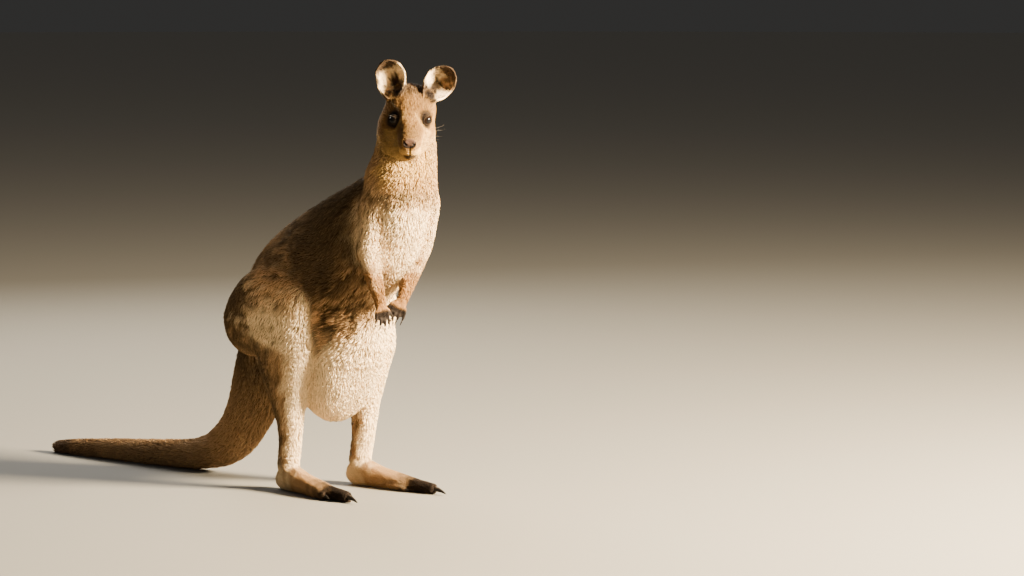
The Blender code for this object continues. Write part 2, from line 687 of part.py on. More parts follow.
def region(build):
    """A closed cutter joined from the masses that build adds to a mesh."""
    bm = bmesh.new()
    build(bm)
    obj = new_object("region", bm, CUTTERS)
    join = obj.modifiers.new("Join", "REMESH")
    join.mode = "VOXEL"
    join.voxel_size = 0.008
    apply_modifiers(obj)
    merge_down(obj, "region")
    hide_cutter(obj)
    return obj


def dress():
    """Gives each piece its material and smooth shading."""
    looks = {name: material(name, colour, rough) for name, colour, rough in (
        ("coat", COAT_COLOUR, 0.85), ("eye", EYE_COLOUR, 0.1), ("claw", CLAW_COLOUR, 0.4))}
    for obj in collection(PARTS).objects:
        kind = "eye" if obj.name.startswith("eye") else "claw" if "claw" in obj.name else "coat"
        obj.data.materials.clear()
        obj.data.materials.append(looks[kind])
        obj.data.shade_smooth()
        obj.data.set_sharp_from_angle(angle=math.radians(50))


def stand_over_origin():
    """Moves every piece so that the origin lies on the floor under the middle of the whole box."""
    corners = [v.co for obj in collection(PARTS).objects for v in obj.data.vertices]
    shift = Vector((-(min(c.x for c in corners) + max(c.x for c in corners)) / 2,
                    -(min(c.y for c in corners) + max(c.y for c in corners)) / 2,
                    -min(c.z for c in corners)))
    for obj in collection(PARTS).objects:
        obj.data.transform(Matrix.Translation(shift))


def main():
    for obj in list(bpy.data.objects):
        bpy.data.objects.remove(obj)
    neck_plane = (in_head(0.0, -0.050, -0.050), NECK_TOP_AIM)
    parted_head(neck_plane)
    parted_body(neck_plane)
    for side in (RIGHT, LEFT):
        hand(side)
        foot(side)
    dress()
    for obj in list(collection(CUTTERS).objects):
        bpy.data.objects.remove(obj)
    stand_over_origin()


main()
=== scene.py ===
"""Looks of a life-size still kangaroo doe: skin, coat, eyes, claws, whiskers, stage and camera.

The animal faces -Y, with its left side towards +X and +Z up, in metres. Every place is worked out from the
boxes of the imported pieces, and the sizes and colours that a user would change are properties in the sidebar.
"""

import math
from typing import NamedTuple

import bmesh
import bpy
import numpy as np
from bpy.props import FloatProperty, FloatVectorProperty, IntProperty, PointerProperty
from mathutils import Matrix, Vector
from mathutils.bvhtree import BVHTree


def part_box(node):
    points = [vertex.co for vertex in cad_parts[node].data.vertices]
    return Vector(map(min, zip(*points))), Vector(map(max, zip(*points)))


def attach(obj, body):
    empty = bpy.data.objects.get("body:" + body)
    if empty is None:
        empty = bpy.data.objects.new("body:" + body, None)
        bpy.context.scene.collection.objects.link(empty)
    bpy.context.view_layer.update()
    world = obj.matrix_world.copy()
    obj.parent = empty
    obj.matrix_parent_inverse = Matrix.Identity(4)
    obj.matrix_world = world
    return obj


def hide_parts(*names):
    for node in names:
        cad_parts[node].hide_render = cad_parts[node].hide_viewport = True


bl_info = {
    "name": "Grey kangaroo looks",
    "version": (1, 0, 0),
    "blender": (4, 5, 0),
    "location": "3D View > Sidebar > Kangaroo",
    "description": "Skin, coat, eyes, claws and stage for a life-size kangaroo",
    "category": "Object",
}

MOST_TRIANGLES = 200000  # of one piece
CAMERA_AIM = (0.4017, -0.581, 0.510)  # the point that the camera aims at
CAMERA_AHEAD = (0.7063, 0.7008, -0.0998)  # the way the camera looks
FLOOR_RADIUS = 45.0
FLOOR_SIDES = 96

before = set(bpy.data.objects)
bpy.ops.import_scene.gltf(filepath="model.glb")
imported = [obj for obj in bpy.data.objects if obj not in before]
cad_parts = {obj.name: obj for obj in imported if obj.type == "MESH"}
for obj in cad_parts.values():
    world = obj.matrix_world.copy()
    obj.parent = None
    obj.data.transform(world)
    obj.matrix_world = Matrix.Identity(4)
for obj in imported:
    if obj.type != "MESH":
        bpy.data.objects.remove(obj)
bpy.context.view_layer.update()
FLESH = sorted(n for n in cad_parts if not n.startswith("eye") and "claw" not in n)
EYES = sorted(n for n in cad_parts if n.startswith("eye"))
CLAWS = sorted(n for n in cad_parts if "claw" in n)
HEAD_DIP = math.radians(30.0)  # how far the muzzle points below level
BEHIND_EYES, BELOW_EYES = 0.0335, 0.010  # from between the eyes to the middle of the braincase
CHEST_TURN = math.radians(22.0)  # how far the chest is turned to the animal's right
CHEST_AHEAD = np.array([-math.sin(CHEST_TURN), -math.cos(CHEST_TURN), 0.0])
WORLD_UP = np.array([0.0, 0.0, 1.0])


# ---------------------------------------------------------------- places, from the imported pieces
def spot(node, across=0.5, along=0.5, high=0.5):
    """A point in a node's box, by its share of the way along X, Y and Z."""
    low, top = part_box(node)
    return np.array([a + (b - a) * t for a, b, t in zip(low, top, (across, along, high))])


def unit(v):
    v = np.asarray(v, float)
    return v / np.maximum(np.linalg.norm(v, axis=-1, keepdims=True), 1e-12)


class Head:
    """The head's own directions, with its middle in the braincase."""
    left = unit(spot("eye_left") - spot("eye_right"))
    ahead = unit(np.cross(WORLD_UP, left)) * -1.0
    muzzle = ahead * math.cos(HEAD_DIP) - WORLD_UP * math.sin(HEAD_DIP)
    up = np.cross(muzzle, left)
    between_eyes = (spot("eye_left") + spot("eye_right")) / 2
    middle = between_eyes - muzzle * BEHIND_EYES - up * BELOW_EYES

    @classmethod
    def place(cls, left_of, along, above):
        return cls.middle + cls.left * left_of + cls.muzzle * along + cls.up * above

    @classmethod
    def own(cls, points):
        """Each point's distance to the left, along the muzzle and above it."""
        away = points - cls.middle
        return away @ cls.left, away @ cls.muzzle, away @ cls.up


# The middle line of the trunk, from the head to the hips, and of the tail, from the hips to its tip.
SPINE = np.array([
    Head.place(0.0, -0.030, 0.0),
    spot("neck", high=0.55),
    spot("chest", along=0.42, high=0.86),
    spot("chest"),
    spot("abdomen", along=0.45, high=0.55),
    spot("abdomen", along=0.72, high=0.30),
])
TAIL = np.array([
    spot("abdomen", along=0.86, high=0.40),
    spot("tail_base", along=0.28, high=0.62),
    spot("tail_base", along=0.62, high=0.28),
    spot("tail_middle", 0.6, 0.05, 0.4),
    spot("tail_middle", 0.3, 0.95, 0.4),
    spot("tail_tip", 0.1, 1.0, 0.4),
])


def side_sign(node):
    """1 for a node on the animal's left, -1 for one on its right."""
    return 1.0 if node.endswith("left") or "_left_" in node else -1.0


def side_name(side):
    return "left" if side > 0 else "right"


# ---------------------------------------------------------------- coat of each part
TUFT_SEGMENTS = 2  # steps along a tuft


class Coat(NamedTuple):
    """The coat on one kind of part: how deep it lies, and its tufts' length, width and spacing, in metres.
    clump is how far tips draw together, and curl how far tufts bend sideways."""
    depth: float
    length: float
    width: float
    spacing: float
    clump: float
    curl: float


COATS = {
    "head": Coat(0.0040, 0.0105, 0.0014, 0.0024, 0.15, 0.06),
    "ear": Coat(0.0009, 0.0070, 0.0012, 0.0025, 0.10, 0.05),
    "neck": Coat(0.0085, 0.0200, 0.0019, 0.0031, 0.22, 0.12),
    "chest": Coat(0.0100, 0.0250, 0.0020, 0.0035, 0.14, 0.09),
    "abdomen": Coat(0.0110, 0.0290, 0.0025, 0.0036, 0.40, 0.20),
    "pouch": Coat(0.0070, 0.0190, 0.0020, 0.0034, 0.12, 0.10),
    "thigh": Coat(0.0090, 0.0230, 0.0024, 0.0036, 0.42, 0.20),
    "shank": Coat(0.0060, 0.0150, 0.0019, 0.0033, 0.26, 0.10),
    "foot": Coat(0.0018, 0.0070, 0.0013, 0.0026, 0.10, 0.05),
    "upper_arm": Coat(0.0070, 0.0180, 0.0020, 0.0033, 0.30, 0.12),
    "forearm": Coat(0.0038, 0.0120, 0.0016, 0.0028, 0.20, 0.08),
    "hand": Coat(0.0009, 0.0042, 0.0010, 0.0019, 0.05, 0.05),
    "tail_base": Coat(0.0095, 0.0220, 0.0024, 0.0037, 0.40, 0.16),
    "tail_middle": Coat(0.0070, 0.0210, 0.0022, 0.0035, 0.34, 0.14),
    "tail_tip": Coat(0.0060, 0.0230, 0.0021, 0.0033, 0.34, 0.14),
}
KINDS = list(COATS)
COAT_PIECES = {
    "coat_head": ("head",),
    "coat_ears": ("ear",),
    "coat_neck": ("neck",),
    "coat_chest": ("chest",),
    "coat_back": ("abdomen",),
    "coat_pouch": ("pouch",),
    "coat_arms": ("upper_arm", "forearm", "hand"),
    "coat_thighs": ("thigh",),
    "coat_shanks": ("shank",),
    "coat_feet": ("foot",),
    "coat_tail": ("tail_base", "tail_middle", "tail_tip"),
}


def kind_of(node):
    """The kind of part that a node is, such as thigh for thigh_left."""
    return max((k for k in KINDS if node.startswith(k)), key=len)


# ---------------------------------------------------------------- properties
def colour(name, text, value):
    """A colour, in linear red, green and blue."""
    return FloatVectorProperty(name=name, description=text, subtype="COLOR", size=3, min=0, max=1,
                               default=value)


def length(name, text, value):
    """A length in metres."""
    return FloatProperty(name=name, description=text, default=value, min=0.0, unit="LENGTH")


def angle(name, text, degrees):
    """An angle, kept in radians."""
    return FloatProperty(name=name, description=text, default=math.radians(degrees), subtype="ANGLE")


def watts(name, text, value):
    """A light's power."""
    return FloatProperty(name=name, description=text, default=value, min=0.0, unit="POWER")


class KangarooSkinSizes(bpy.types.PropertyGroup):
    voxel: length("Voxel", "Edge of the grid that joins the pieces of flesh", 0.0027)
    triangles: IntProperty(name="Triangles", description="Triangles left in the skin", default=130000,
                           min=1000)
    lid_thickness: length("Lid thickness", "Thickness of the eyelids' rims", 0.0016)
    lid_open_across: angle("Eye opening, across", "Half the opening's width", 54)
    lid_open_high: angle("Eye opening, high", "Half the opening's height", 37)


class KangarooCoatSizes(bpy.types.PropertyGroup):
    density: FloatProperty(name="Density", description="Times the usual number of tufts", default=1.0,
                           min=0.1)
    seed: IntProperty(name="Seed", description="Start of the random numbers", default=7)
    patch: FloatProperty(name="Patch", description="Width of one tuft on the coat's map", default=0.003)


class KangarooColours(bpy.types.PropertyGroup):
    back: colour("Back", "Dark grey-brown of the back and rump", (0.100, 0.066, 0.034))
    # On the trunk's sides this brown is darker than the back's, partly as painted shade.
    flank: colour("Flank", "Brown of the sides, nape and speckles", (0.056, 0.034, 0.014))
    tan: colour("Tan", "Tan of the face, thighs, forearms and tail", (0.520, 0.310, 0.145))
    cream: colour("Cream", "Cream of the throat, chest, belly and legs", (0.950, 0.730, 0.440))
    dark: colour("Dark", "Dark brown of the crown, ear rims and the tail's end", (0.045, 0.028, 0.018))
    # Just below the mouth this black is painted shade.
    black: colour("Black", "Black-brown of fingers, toes, chin, eye rings and ears' hollows",
                  (0.022, 0.015, 0.011))
    nose: colour("Nose", "Bare skin of the nose and lids", (0.016, 0.011, 0.009))
    iris: colour("Iris", "Iris", (0.017, 0.008, 0.004))


class KangarooStageSizes(bpy.types.PropertyGroup):
    camera_distance: length("Camera distance", "Camera to the point it aims at", 9.0)
    camera_lens: FloatProperty(name="Lens", description="Focal length on a 36 mm wide frame", default=121.8)
    key_power: watts("Key light", "Power of the main soft light", 4900.0)
    fill_power: watts("Fill light", "Power of the soft light opposite the key", 7.0)
    back_power: watts("Back light", "Power of the soft light behind the animal", 252.0)


# ---------------------------------------------------------------- arrays and meshes
def smooth_step(low, top, value):
    """From 0 at low to 1 at top, smoothly."""
    t = np.clip((value - low) / (top - low), 0.0, 1.0)
    return t * t * (3 - 2 * t)


def blend(a, b, share):
    """From a to b, for numbers or for rows of them."""
    share = np.asarray(share)
    if np.ndim(b) and np.ndim(share) and np.shape(b)[-1] == 3:
        share = share[..., None]
    return a + (b - a) * share


def distances(points, place):
    """How far each point is from one place, or from its own."""
    return np.linalg.norm(points - place, axis=1)


def wobble(points, size, seed, waves=5):
    """Smooth noise from about -1 to 1, with features of about the given size in metres."""
    rng = np.random.default_rng(seed)
    total = np.zeros(len(points))
    for _ in range(waves):
        direction = unit(rng.normal(size=3)) * rng.uniform(0.7, 1.5) * 2 * math.pi / (2.2 * size)
        total += np.sin(points @ direction + rng.uniform(0, 2 * math.pi))
    return total / math.sqrt(waves) / 1.4


def read(items, name, width=1, kind=np.float64):
    """One property of every vertex, edge or triangle, as an array."""
    data = np.empty(len(items) * width, np.float32 if kind is np.float64 else np.int32)
    items.foreach_get(name, data)
    data = data.astype(kind)
    return data.reshape(-1, width) if width > 1 else data


def add_attribute(mesh, name, values):
    """Stores a value for each vertex, as a number, a vector or a colour."""
    width = 1 if values.ndim == 1 else values.shape[1]
    kinds = {1: ("FLOAT", "value"), 3: ("FLOAT_VECTOR", "vector"), 4: ("FLOAT_COLOR", "color")}
    kind, field = kinds[width]
    layer = mesh.attributes.new(name, kind, "POINT")
    layer.data.foreach_set(field, np.ascontiguousarray(values, np.float32).ravel())


def new_object(name, mesh, look):
    """An object of the scene with one material."""
    obj = bpy.data.objects.new(name, mesh)
    bpy.context.scene.collection.objects.link(obj)
    mesh.materials.append(look)
    return obj


def mesh_from(name, points, faces):
    """A mesh from arrays of points and of faces that all have the same number of corners."""
    mesh = bpy.data.meshes.new(name)
    count, corners = faces.shape
    mesh.vertices.add(len(points))
    mesh.vertices.foreach_set("co", np.ascontiguousarray(points, np.float32).ravel())
    mesh.loops.add(count * corners)
    mesh.loops.foreach_set("vertex_index", np.ascontiguousarray(faces, np.int32).ravel())
    mesh.polygons.add(count)
    mesh.polygons.foreach_set("loop_start", np.arange(count, dtype=np.int32) * corners)
    mesh.update(calc_edges=True)
    mesh.shade_smooth()
    return mesh


def move_points(mesh, points):
    """Moves the mesh's points to their new places."""
    mesh.vertices.foreach_set("co", points.astype(np.float32).ravel())
    mesh.update()


def finish_piece(obj, slot, *nodes):
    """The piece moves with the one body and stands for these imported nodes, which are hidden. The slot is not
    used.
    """
    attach(obj, "root")
    if nodes:
        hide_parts(*nodes)


def as_plain_mesh(obj):
    """Turns the object's evaluated mesh into its own."""
    graph = bpy.context.evaluated_depsgraph_get()
    mesh = bpy.data.meshes.new_from_object(obj.evaluated_get(graph))
    obj.modifiers.clear()
    old, obj.data = obj.data, mesh
    bpy.data.meshes.remove(old)


class Surface:
    """A mesh's points, normals, triangles and edges as arrays."""

    def __init__(self, mesh):
        mesh.calc_loop_triangles()
        self.points = read(mesh.vertices, "co", 3)
        self.normals = read(mesh.vertices, "normal", 3)
        self.triangles = read(mesh.loop_triangles, "vertices", 3, np.int64)
        self.edges = read(mesh.edges, "vertices", 2, np.int64)

    def of_neighbours(self, values):
        """The mean of the values at each point's neighbours."""
        a, b = self.edges.T
        count = len(self.points)
        near = np.bincount(a, minlength=count) + np.bincount(b, minlength=count)
        table = values.reshape(count, -1).T
        total = [np.bincount(a, row[b], count) + np.bincount(b, row[a], count) for row in table]
        return (np.stack(total, 1) / np.maximum(near, 1)[:, None]).reshape(values.shape)

    def softened(self, values, rounds, amount=0.5):
        """The values, drawn towards their neighbours' mean by an amount, or by an amount for each point."""
        share = np.broadcast_to(amount, len(self.points)).reshape((-1,) + (1,) * (values.ndim - 1))
        for _ in range(rounds):
            values = values + (self.of_neighbours(values) - values) * share
        return values

    def find_normals(self):
        """Works the normals out again after points have moved."""
        a, b, c = (self.points[self.triangles[:, k]] for k in range(3))
        flat = np.cross(b - a, c - a)
        total = np.zeros_like(self.points)
        for k in range(3):
            for axis in range(3):
                total[:, axis] += np.bincount(self.triangles[:, k], flat[:, axis], len(self.points))
        self.normals = unit(total)


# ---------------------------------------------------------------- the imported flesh
NODE_GROWTH = 0.0005  # how far each node is grown before they are joined
ON_FLOOR = 0.004  # height above the soles under which the skin isn't sunk
SOLE_LIFT = 0.0006  # from the floor to the skin
SOLE_BARE = 0.006  # height above the soles under which skin that faces down has no tufts
TIP_LIFT = 0.0004  # least height of a tuft's tip above the soles


def merged_copy(node):
    """The node's triangles as a mesh whose doubled points are merged."""
    bm = bmesh.new()
    bm.from_mesh(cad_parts[node].data)
    bmesh.ops.remove_doubles(bm, verts=bm.verts, dist=1e-5)
    bm.verts.index_update()
    bm.normal_update()
    return bm


class Flesh:
    """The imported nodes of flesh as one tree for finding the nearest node."""

    def __init__(self):
        points, faces, owners = [], [], []
        for number, node in enumerate(FLESH):
            bm = merged_copy(node)
            start = len(points)
            points += [v.co.copy() for v in bm.verts]
            faces += [[v.index + start for v in face.verts] for face in bm.faces]
            owners += [number] * len(bm.faces)
            bm.free()
        self.tree = BVHTree.FromPolygons(points, faces)
        self.owners = owners

    def nearest_nodes(self, points):
        """The number in FLESH of the node nearest to each point, where under the jaw counts as neck."""
        owners = np.array([self.owners[self.tree.find_nearest(p)[2]] for p in points.tolist()])
        _, along, above = Head.own(points)
        jaw = -0.044 - 0.012 * smooth_step(0.060, 0.095, along) + 0.003 * wobble(points, 0.012, 25)
        owners[(owners == FLESH.index("head")) & (above < jaw)] = FLESH.index("neck")
        return owners


def joined_flesh(voxel):
    """All the flesh as one closed skin: the nodes, grown a little so that they meet, on one voxel grid."""
    joined = bmesh.new()
    for node in FLESH:
        bm = merged_copy(node)
        for vertex, normal in [(v, v.normal.copy()) for v in bm.verts]:
            vertex.co += normal * NODE_GROWTH
        part = bpy.data.meshes.new("part")
        bm.to_mesh(part)
        bm.free()
        joined.from_mesh(part)
        bpy.data.meshes.remove(part)
    mesh = bpy.data.meshes.new("skin")
    joined.to_mesh(mesh)
    joined.free()
    obj = new_object("skin", mesh, skin_look())
    remesh = obj.modifiers.new("Join", "REMESH")
    remesh.mode = "VOXEL"
    remesh.voxel_size = voxel
    as_plain_mesh(obj)
    return obj


def eye_centre(side):
    """The middle and the radius of one eye."""
    low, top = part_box("eye_" + side_name(side))
    return (np.array(low) + np.array(top)) / 2, (top.z - low.z) / 2


def eye_gaze(side):
    """The way an eye faces: outward, and forward of the side."""
    return unit(Head.left * side * 0.64 + Head.muzzle * 0.68 + Head.up * 0.30)


def coat_depths(surface, kinds):
    """How deep the coat lies at each point, smoothly from part to part and thin round the eyes and nose."""
    depths = np.array([COATS[k].depth for k in KINDS])[kinds]
    depths = surface.softened(depths, 14)
    _, along, _ = Head.own(surface.points)
    face = smooth_step(0.030, 0.110, along) * (kinds == KINDS.index("head"))
    depths = blend(depths, 0.0016, face)
    for side in (-1, 1):
        centre, radius = eye_centre(side)
        away = distances(surface.points, centre)
        depths = blend(0.0008, depths, smooth_step(radius * 1.1, radius * 2.1, away))
    return depths


def soften_and_sink(obj, flesh):
    """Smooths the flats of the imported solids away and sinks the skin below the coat's tips.
    Returns which points belong to the small parts and the head."""
    surface = Surface(obj.data)
    kinds = np.array([KINDS.index(kind_of(n)) for n in FLESH])[flesh.nearest_nodes(surface.points)]
    fine = np.isin(kinds, [KINDS.index(k) for k in ("hand", "foot", "ear")])
    head = kinds == KINDS.index("head")
    amount = surface.softened(np.where(fine, 0.10, np.where(head, 0.30, 1.0)), 10) * 0.6
    floor = surface.points[:, 2].min()
    for _ in range(3):
        surface.points = surface.softened(surface.points, 8, amount)
        surface.points = surface.softened(surface.points, 8, -amount * 0.86)
    surface.find_normals()
    depths = coat_depths(surface, kinds)
    on_floor = surface.points[:, 2] < floor + ON_FLOOR
    surface.points -= surface.normals * np.where(on_floor, 0.0, depths)[:, None]
    surface.points = surface.softened(surface.points, 4, amount * 0.6)
    surface.points[:, 2] = np.maximum(surface.points[:, 2], floor + SOLE_LIFT)
    move_points(obj.data, surface.points)
    return fine | head


def thin_out(obj, triangles, spared):
    """Merges triangles down to a number, mostly outside the spared points."""
    group = obj.vertex_groups.new(name="merged")
    for weight, chosen in ((0.35, np.flatnonzero(spared)), (1.0, np.flatnonzero(~spared))):
        group.add(chosen.tolist(), weight, "REPLACE")
    fewer = obj.modifiers.new("Fewer", "DECIMATE")
    fewer.use_collapse_triangulate = True
    fewer.ratio = triangles / sum(len(p.vertices) - 2 for p in obj.data.polygons)
    fewer.vertex_group = group.name
    fewer.vertex_group_factor = 0.8
    as_plain_mesh(obj)
    obj.vertex_groups.clear()


# ---------------------------------------------------------------- face
ROUND_LID = 72  # points round an eye's opening
NOSE_TIP = (0.0, 0.122, -0.004)  # left of, along and above the muzzle's axis
FINE_ROUND_NOSE = (0.052, 0.034)  # reach of each finer step of the mesh round the nose
# Each nostril's hollow and its slit: how far out and up from the nose's middle, how deep, and half its width
# and height.
NOSTRIL = ((0.0105, 0.0, 0.0050, 0.0044, 0.0032), (0.0142, 0.0036, 0.0028, 0.0030, 0.0022))


def refine_muzzle(obj):
    """Makes the mesh finer towards the nose, so that nostrils and lips have an edge."""
    tip = Vector(Head.place(*NOSE_TIP))
    for reach in FINE_ROUND_NOSE:
        bm = bmesh.new()
        bm.from_mesh(obj.data)
        near = [e for e in bm.edges if ((e.verts[0].co + e.verts[1].co) / 2 - tip).length < reach]
        bmesh.ops.subdivide_edges(bm, edges=near, cuts=1)
        bmesh.ops.triangulate(bm, faces=[f for f in bm.faces if len(f.verts) > 3])
        bm.to_mesh(obj.data)
        bm.free()


def line_depth(offset, width):
    """A groove's share of its depth at a distance from its middle line."""
    return np.exp(-(offset / width) ** 2)


def mouth_height(along):
    """The mouth line's height, lower towards the cheek."""
    return -0.0385 - 0.45 * np.clip(0.112 - along, 0.0, 0.06) ** 1.2


def mouth_line(left, along, above):
    """1 in the parting of the lips, which ends under the eyes."""
    wide = 0.0020 + 0.0026 * smooth_step(0.104, 0.120, along)
    parting = line_depth(above - mouth_height(along), wide)
    return parting * smooth_step(0.084, 0.104, along) * (np.abs(left) < 0.04)


def carve_face(surface):
    """Presses nostrils, lips and the hollow before each eye into the skin, and raises the upper lip and the
    nose's rim."""
    left, along, above = Head.own(surface.points)
    inward = np.zeros(len(left))
    for out, rise, deep, wide, high in NOSTRIL:
        hole = ((np.abs(left) - out) / wide) ** 2 + ((above + 0.001 - rise) / high) ** 2
        inward += np.exp(-hole * 1.4) * deep * (along > 0.108)
    inward += philtrum(left, along, above) * 0.0018
    inward += mouth_line(left, along, above) * 0.0042
    for side in (-1, 1):
        centre, radius = eye_centre(side)
        hollow = centre + (Head.muzzle * 1.35 - Head.left * side * 0.20 + Head.up * 0.10) * radius
        inward += line_depth(distances(surface.points, hollow), 0.011) * 0.0036
    upper_lip = line_depth(above - mouth_height(along) - 0.0050, 0.0034)
    inward -= upper_lip * smooth_step(0.060, 0.080, along) * 0.0010
    nose_rim = line_depth(from_nose(left, above) - 0.85, 0.22)
    inward -= nose_rim * 0.0007 * smooth_step(0.112, 0.122, along)
    surface.points -= surface.normals * inward[:, None]


# How far each row of a lid lies back from its edge, in radians, and above the eyeball, in thicknesses.
LID_SECTION = (
    (0.10, 0.02), (0.02, 0.25), (0.0, 0.60), (0.04, 0.85), (0.11, 0.95),
    (0.20, 0.80), (0.32, 0.95), (0.50, 0.95), (0.75, 0.30), (1.05, -1.20),
)
LID_ROWS = len(LID_SECTION)
LASH_ROW = 3  # the row of a lid that its lashes stand on
BARE_ROWS = (3.5, 5.0)  # the rows of a lid between which its bare rim ends


def lid(side, sizes):
    """Both lids of one eye as a shell over the eyeball, open in an almond, whose rear runs under the skin.
    Returns its points, row by row from the opening, and its faces."""
    centre, radius = eye_centre(side)
    gaze = eye_gaze(side)
    across = unit(np.cross(Head.up, gaze)) * side
    high = unit(np.cross(gaze, across)) * side
    turn = 2 * math.pi * np.arange(ROUND_LID) / ROUND_LID
    sideways = across * np.cos(turn)[:, None] + high * np.sin(turn)[:, None]
    corner = np.abs(np.cos(turn)) ** 1.5
    open_high = np.where(np.sin(turn) > 0, sizes.lid_open_high, sizes.lid_open_high * 0.82)
    opening = sizes.lid_open_across * corner + open_high * (1 - corner)
    opening = opening * (1 + 0.10 * np.maximum(np.cos(turn), 0) ** 6)
    rows = []
    for back, rise in LID_SECTION:
        reach = (opening + back)[:, None]
        out = radius + sizes.lid_thickness * rise
        rows.append(centre + out * (gaze * np.cos(reach) + sideways * np.sin(reach)))
    faces = []
    for row in range(LID_ROWS - 1):
        for k in range(ROUND_LID):
            a, b = row * ROUND_LID + k, row * ROUND_LID + (k + 1) % ROUND_LID
            faces.append((a, b, b + ROUND_LID, a + ROUND_LID))
    return np.concatenate(rows), np.array(faces)


def add_lids(obj, sizes):
    """Joins the lids to the skin's mesh. Returns the number of the first lid point."""
    bm = bmesh.new()
    bm.from_mesh(obj.data)
    first = len(bm.verts)
    for side in (-1, 1):
        points, faces = lid(side, sizes)
        made = [bm.verts.new(p) for p in points]
        for face in faces:
            bm.faces.new([made[k] for k in (face[::-1] if side > 0 else face)])
    bm.to_mesh(obj.data)
    bm.free()
    return first


def from_nose(left, above):
    """1 on the edge of the bare nose, and less inside it."""
    return np.sqrt((left / 0.0178) ** 2 + ((above + 0.0005) / 0.0118) ** 2)


def nose_pad(left, along, above):
    """1 on the bare nose, 0 off it."""
    return (1 - smooth_step(0.85, 1.05, from_nose(left, above))) * smooth_step(0.104, 0.110, along)


def philtrum(left, along, above):
    """1 in the groove that runs from the nose down to the mouth."""
    high = smooth_step(-0.042, -0.037, above) * (1 - smooth_step(-0.012, -0.006, above))
    return line_depth(left, 0.0017) * smooth_step(0.100, 0.112, along) * high


def past_palm(points, own):
    """How far points lie past the middle of a hand, towards its fingertips."""
    hand = spot("hand_" + own)
    return (points - hand) @ unit(hand - spot("forearm_" + own))


def bare_skin(surface, first_lid):
    """How bare of hair each point is: the nose, the lips' edge, the fingers and the lids."""
    left, along, above = Head.own(surface.points)
    bare = np.maximum(nose_pad(left, along, above), philtrum(left, along, above))
    bare = np.maximum(bare, mouth_line(left, along, above))
    for own in ("left", "right"):
        near = distances(surface.points, spot("hand_" + own)) < 0.06
        bare = np.maximum(bare, near * 0.8 * smooth_step(0.006, 0.014, past_palm(surface.points, own)))
    row = np.arange(len(bare) - first_lid) // ROUND_LID % LID_ROWS
    bare[first_lid:] = np.interp(row, BARE_ROWS, (1.0, 0.0))
    return bare


# ---------------------------------------------------------------- markings
def round_line(points, line):
    """For each point, the nearest place on a bent line, the line's direction there and its share along."""
    best = np.full(len(points), np.inf)
    place, direction = np.zeros_like(points), np.zeros_like(points)
    share = np.zeros(len(points))
    for k, (start, end) in enumerate(zip(line, line[1:])):
        step = end - start
        t = np.clip((points - start) @ step / (step @ step), 0, 1)
        near = start + t[:, None] * step
        away = distances(points, near)
        closer = away < best
        best[closer], place[closer] = away[closer], near[closer]
        direction[closer] = unit(step)
        share[closer] = (k + t[closer]) / (len(line) - 1)
    return place, direction, share


def belly_side(points, line, front):
    """1 on the belly side of a bent line through the body, -1 on its back side."""
    place, direction, _ = round_line(points, line)
    out = points - place
    out -= direction * (out * direction).sum(1)[:, None]
    front = front - direction * (direction * front).sum(1)[:, None]
    return (unit(out) * unit(front)).sum(1)


PANEL_TOP = spot("chest", high=1.0)[2] - 0.065  # height up to which the chest's cream reaches


def neck_spots(points):
    """1 in the brown spots round the root of the neck."""
    return smooth_step(-0.05, 0.35, wobble(points, 0.012, 26) * 0.6 + wobble(points, 0.030, 27) * 0.4)


def mark_trunk(points, normals, c):
    """Cream chest, cream lower belly, and dark flanks and back that end sharply at them. The flanks' brown is
    darker than the back's partly as painted shade.
    """
    share = round_line(points, SPINE)[2]
    low = smooth_step(0.42, 0.68, share)
    ahead = CHEST_AHEAD - WORLD_UP * 0.20
    belly = belly_side(points, SPINE, blend(ahead, np.array([0.22, -0.90, -0.40]), low))
    ragged = wobble(points, 0.035, 3) * 0.05 + wobble(points, 0.012, 4) * 0.05
    pouch_top = spot("pouch", high=0.82)[2]
    forward = (points - spot("abdomen", 0.2, 0.45, 0.2)) @ np.array([0.60, -0.80, 0.0])
    limit = pouch_top + 0.50 * (forward - 0.05)
    hanging = smooth_step(0.030, -0.030, points[:, 2] - limit + ragged * 0.15)
    belly = belly + ragged + (0.52 * hanging - 0.30) * low
    # The sides take the flank's brown, darker than the back's: partly dark fur, partly painted shade.
    made = blend(c.back, c.flank, smooth_step(-0.75, 0.30, belly))
    streaks = smooth_step(-0.05, 0.50, wobble(points, 0.007, 23) + 0.3 * wobble(points, 0.030, 24))
    side = smooth_step(0.52, 0.68, share) * smooth_step(-0.3, 0.2, belly)
    rump = smooth_step(0.62, 0.80, share) * smooth_step(-0.2, -0.6, belly)
    made = blend(made, c.tan * 1.6, 0.85 * streaks * side)
    made = blend(made, c.tan * 1.1, 0.55 * streaks * rump)
    made = blend(made, c.tan * 0.55, smooth_step(0.50, 0.66, belly))
    upper = smooth_step(PANEL_TOP - 0.16, PANEL_TOP, points[:, 2])
    beyond = smooth_step(PANEL_TOP - 0.02, PANEL_TOP + 0.02, points[:, 2])
    within = belly + ragged - 0.06 * upper - 0.40 * beyond
    border = blend(c.tan * 1.1, c.flank * 2.0, 0.85 * upper * neck_spots(points))
    pale = blend(blend(border, c.cream, 0.25), c.cream, smooth_step(0.68, 0.86, within))
    return blend(made, pale, smooth_step(0.62, 0.78, belly))


def mark_pouch(points, normals, c):
    """Cream with a little tan."""
    return blend(c.cream, c.tan, 0.12 * smooth_step(-0.5, 1, wobble(points, 0.04, 5)))


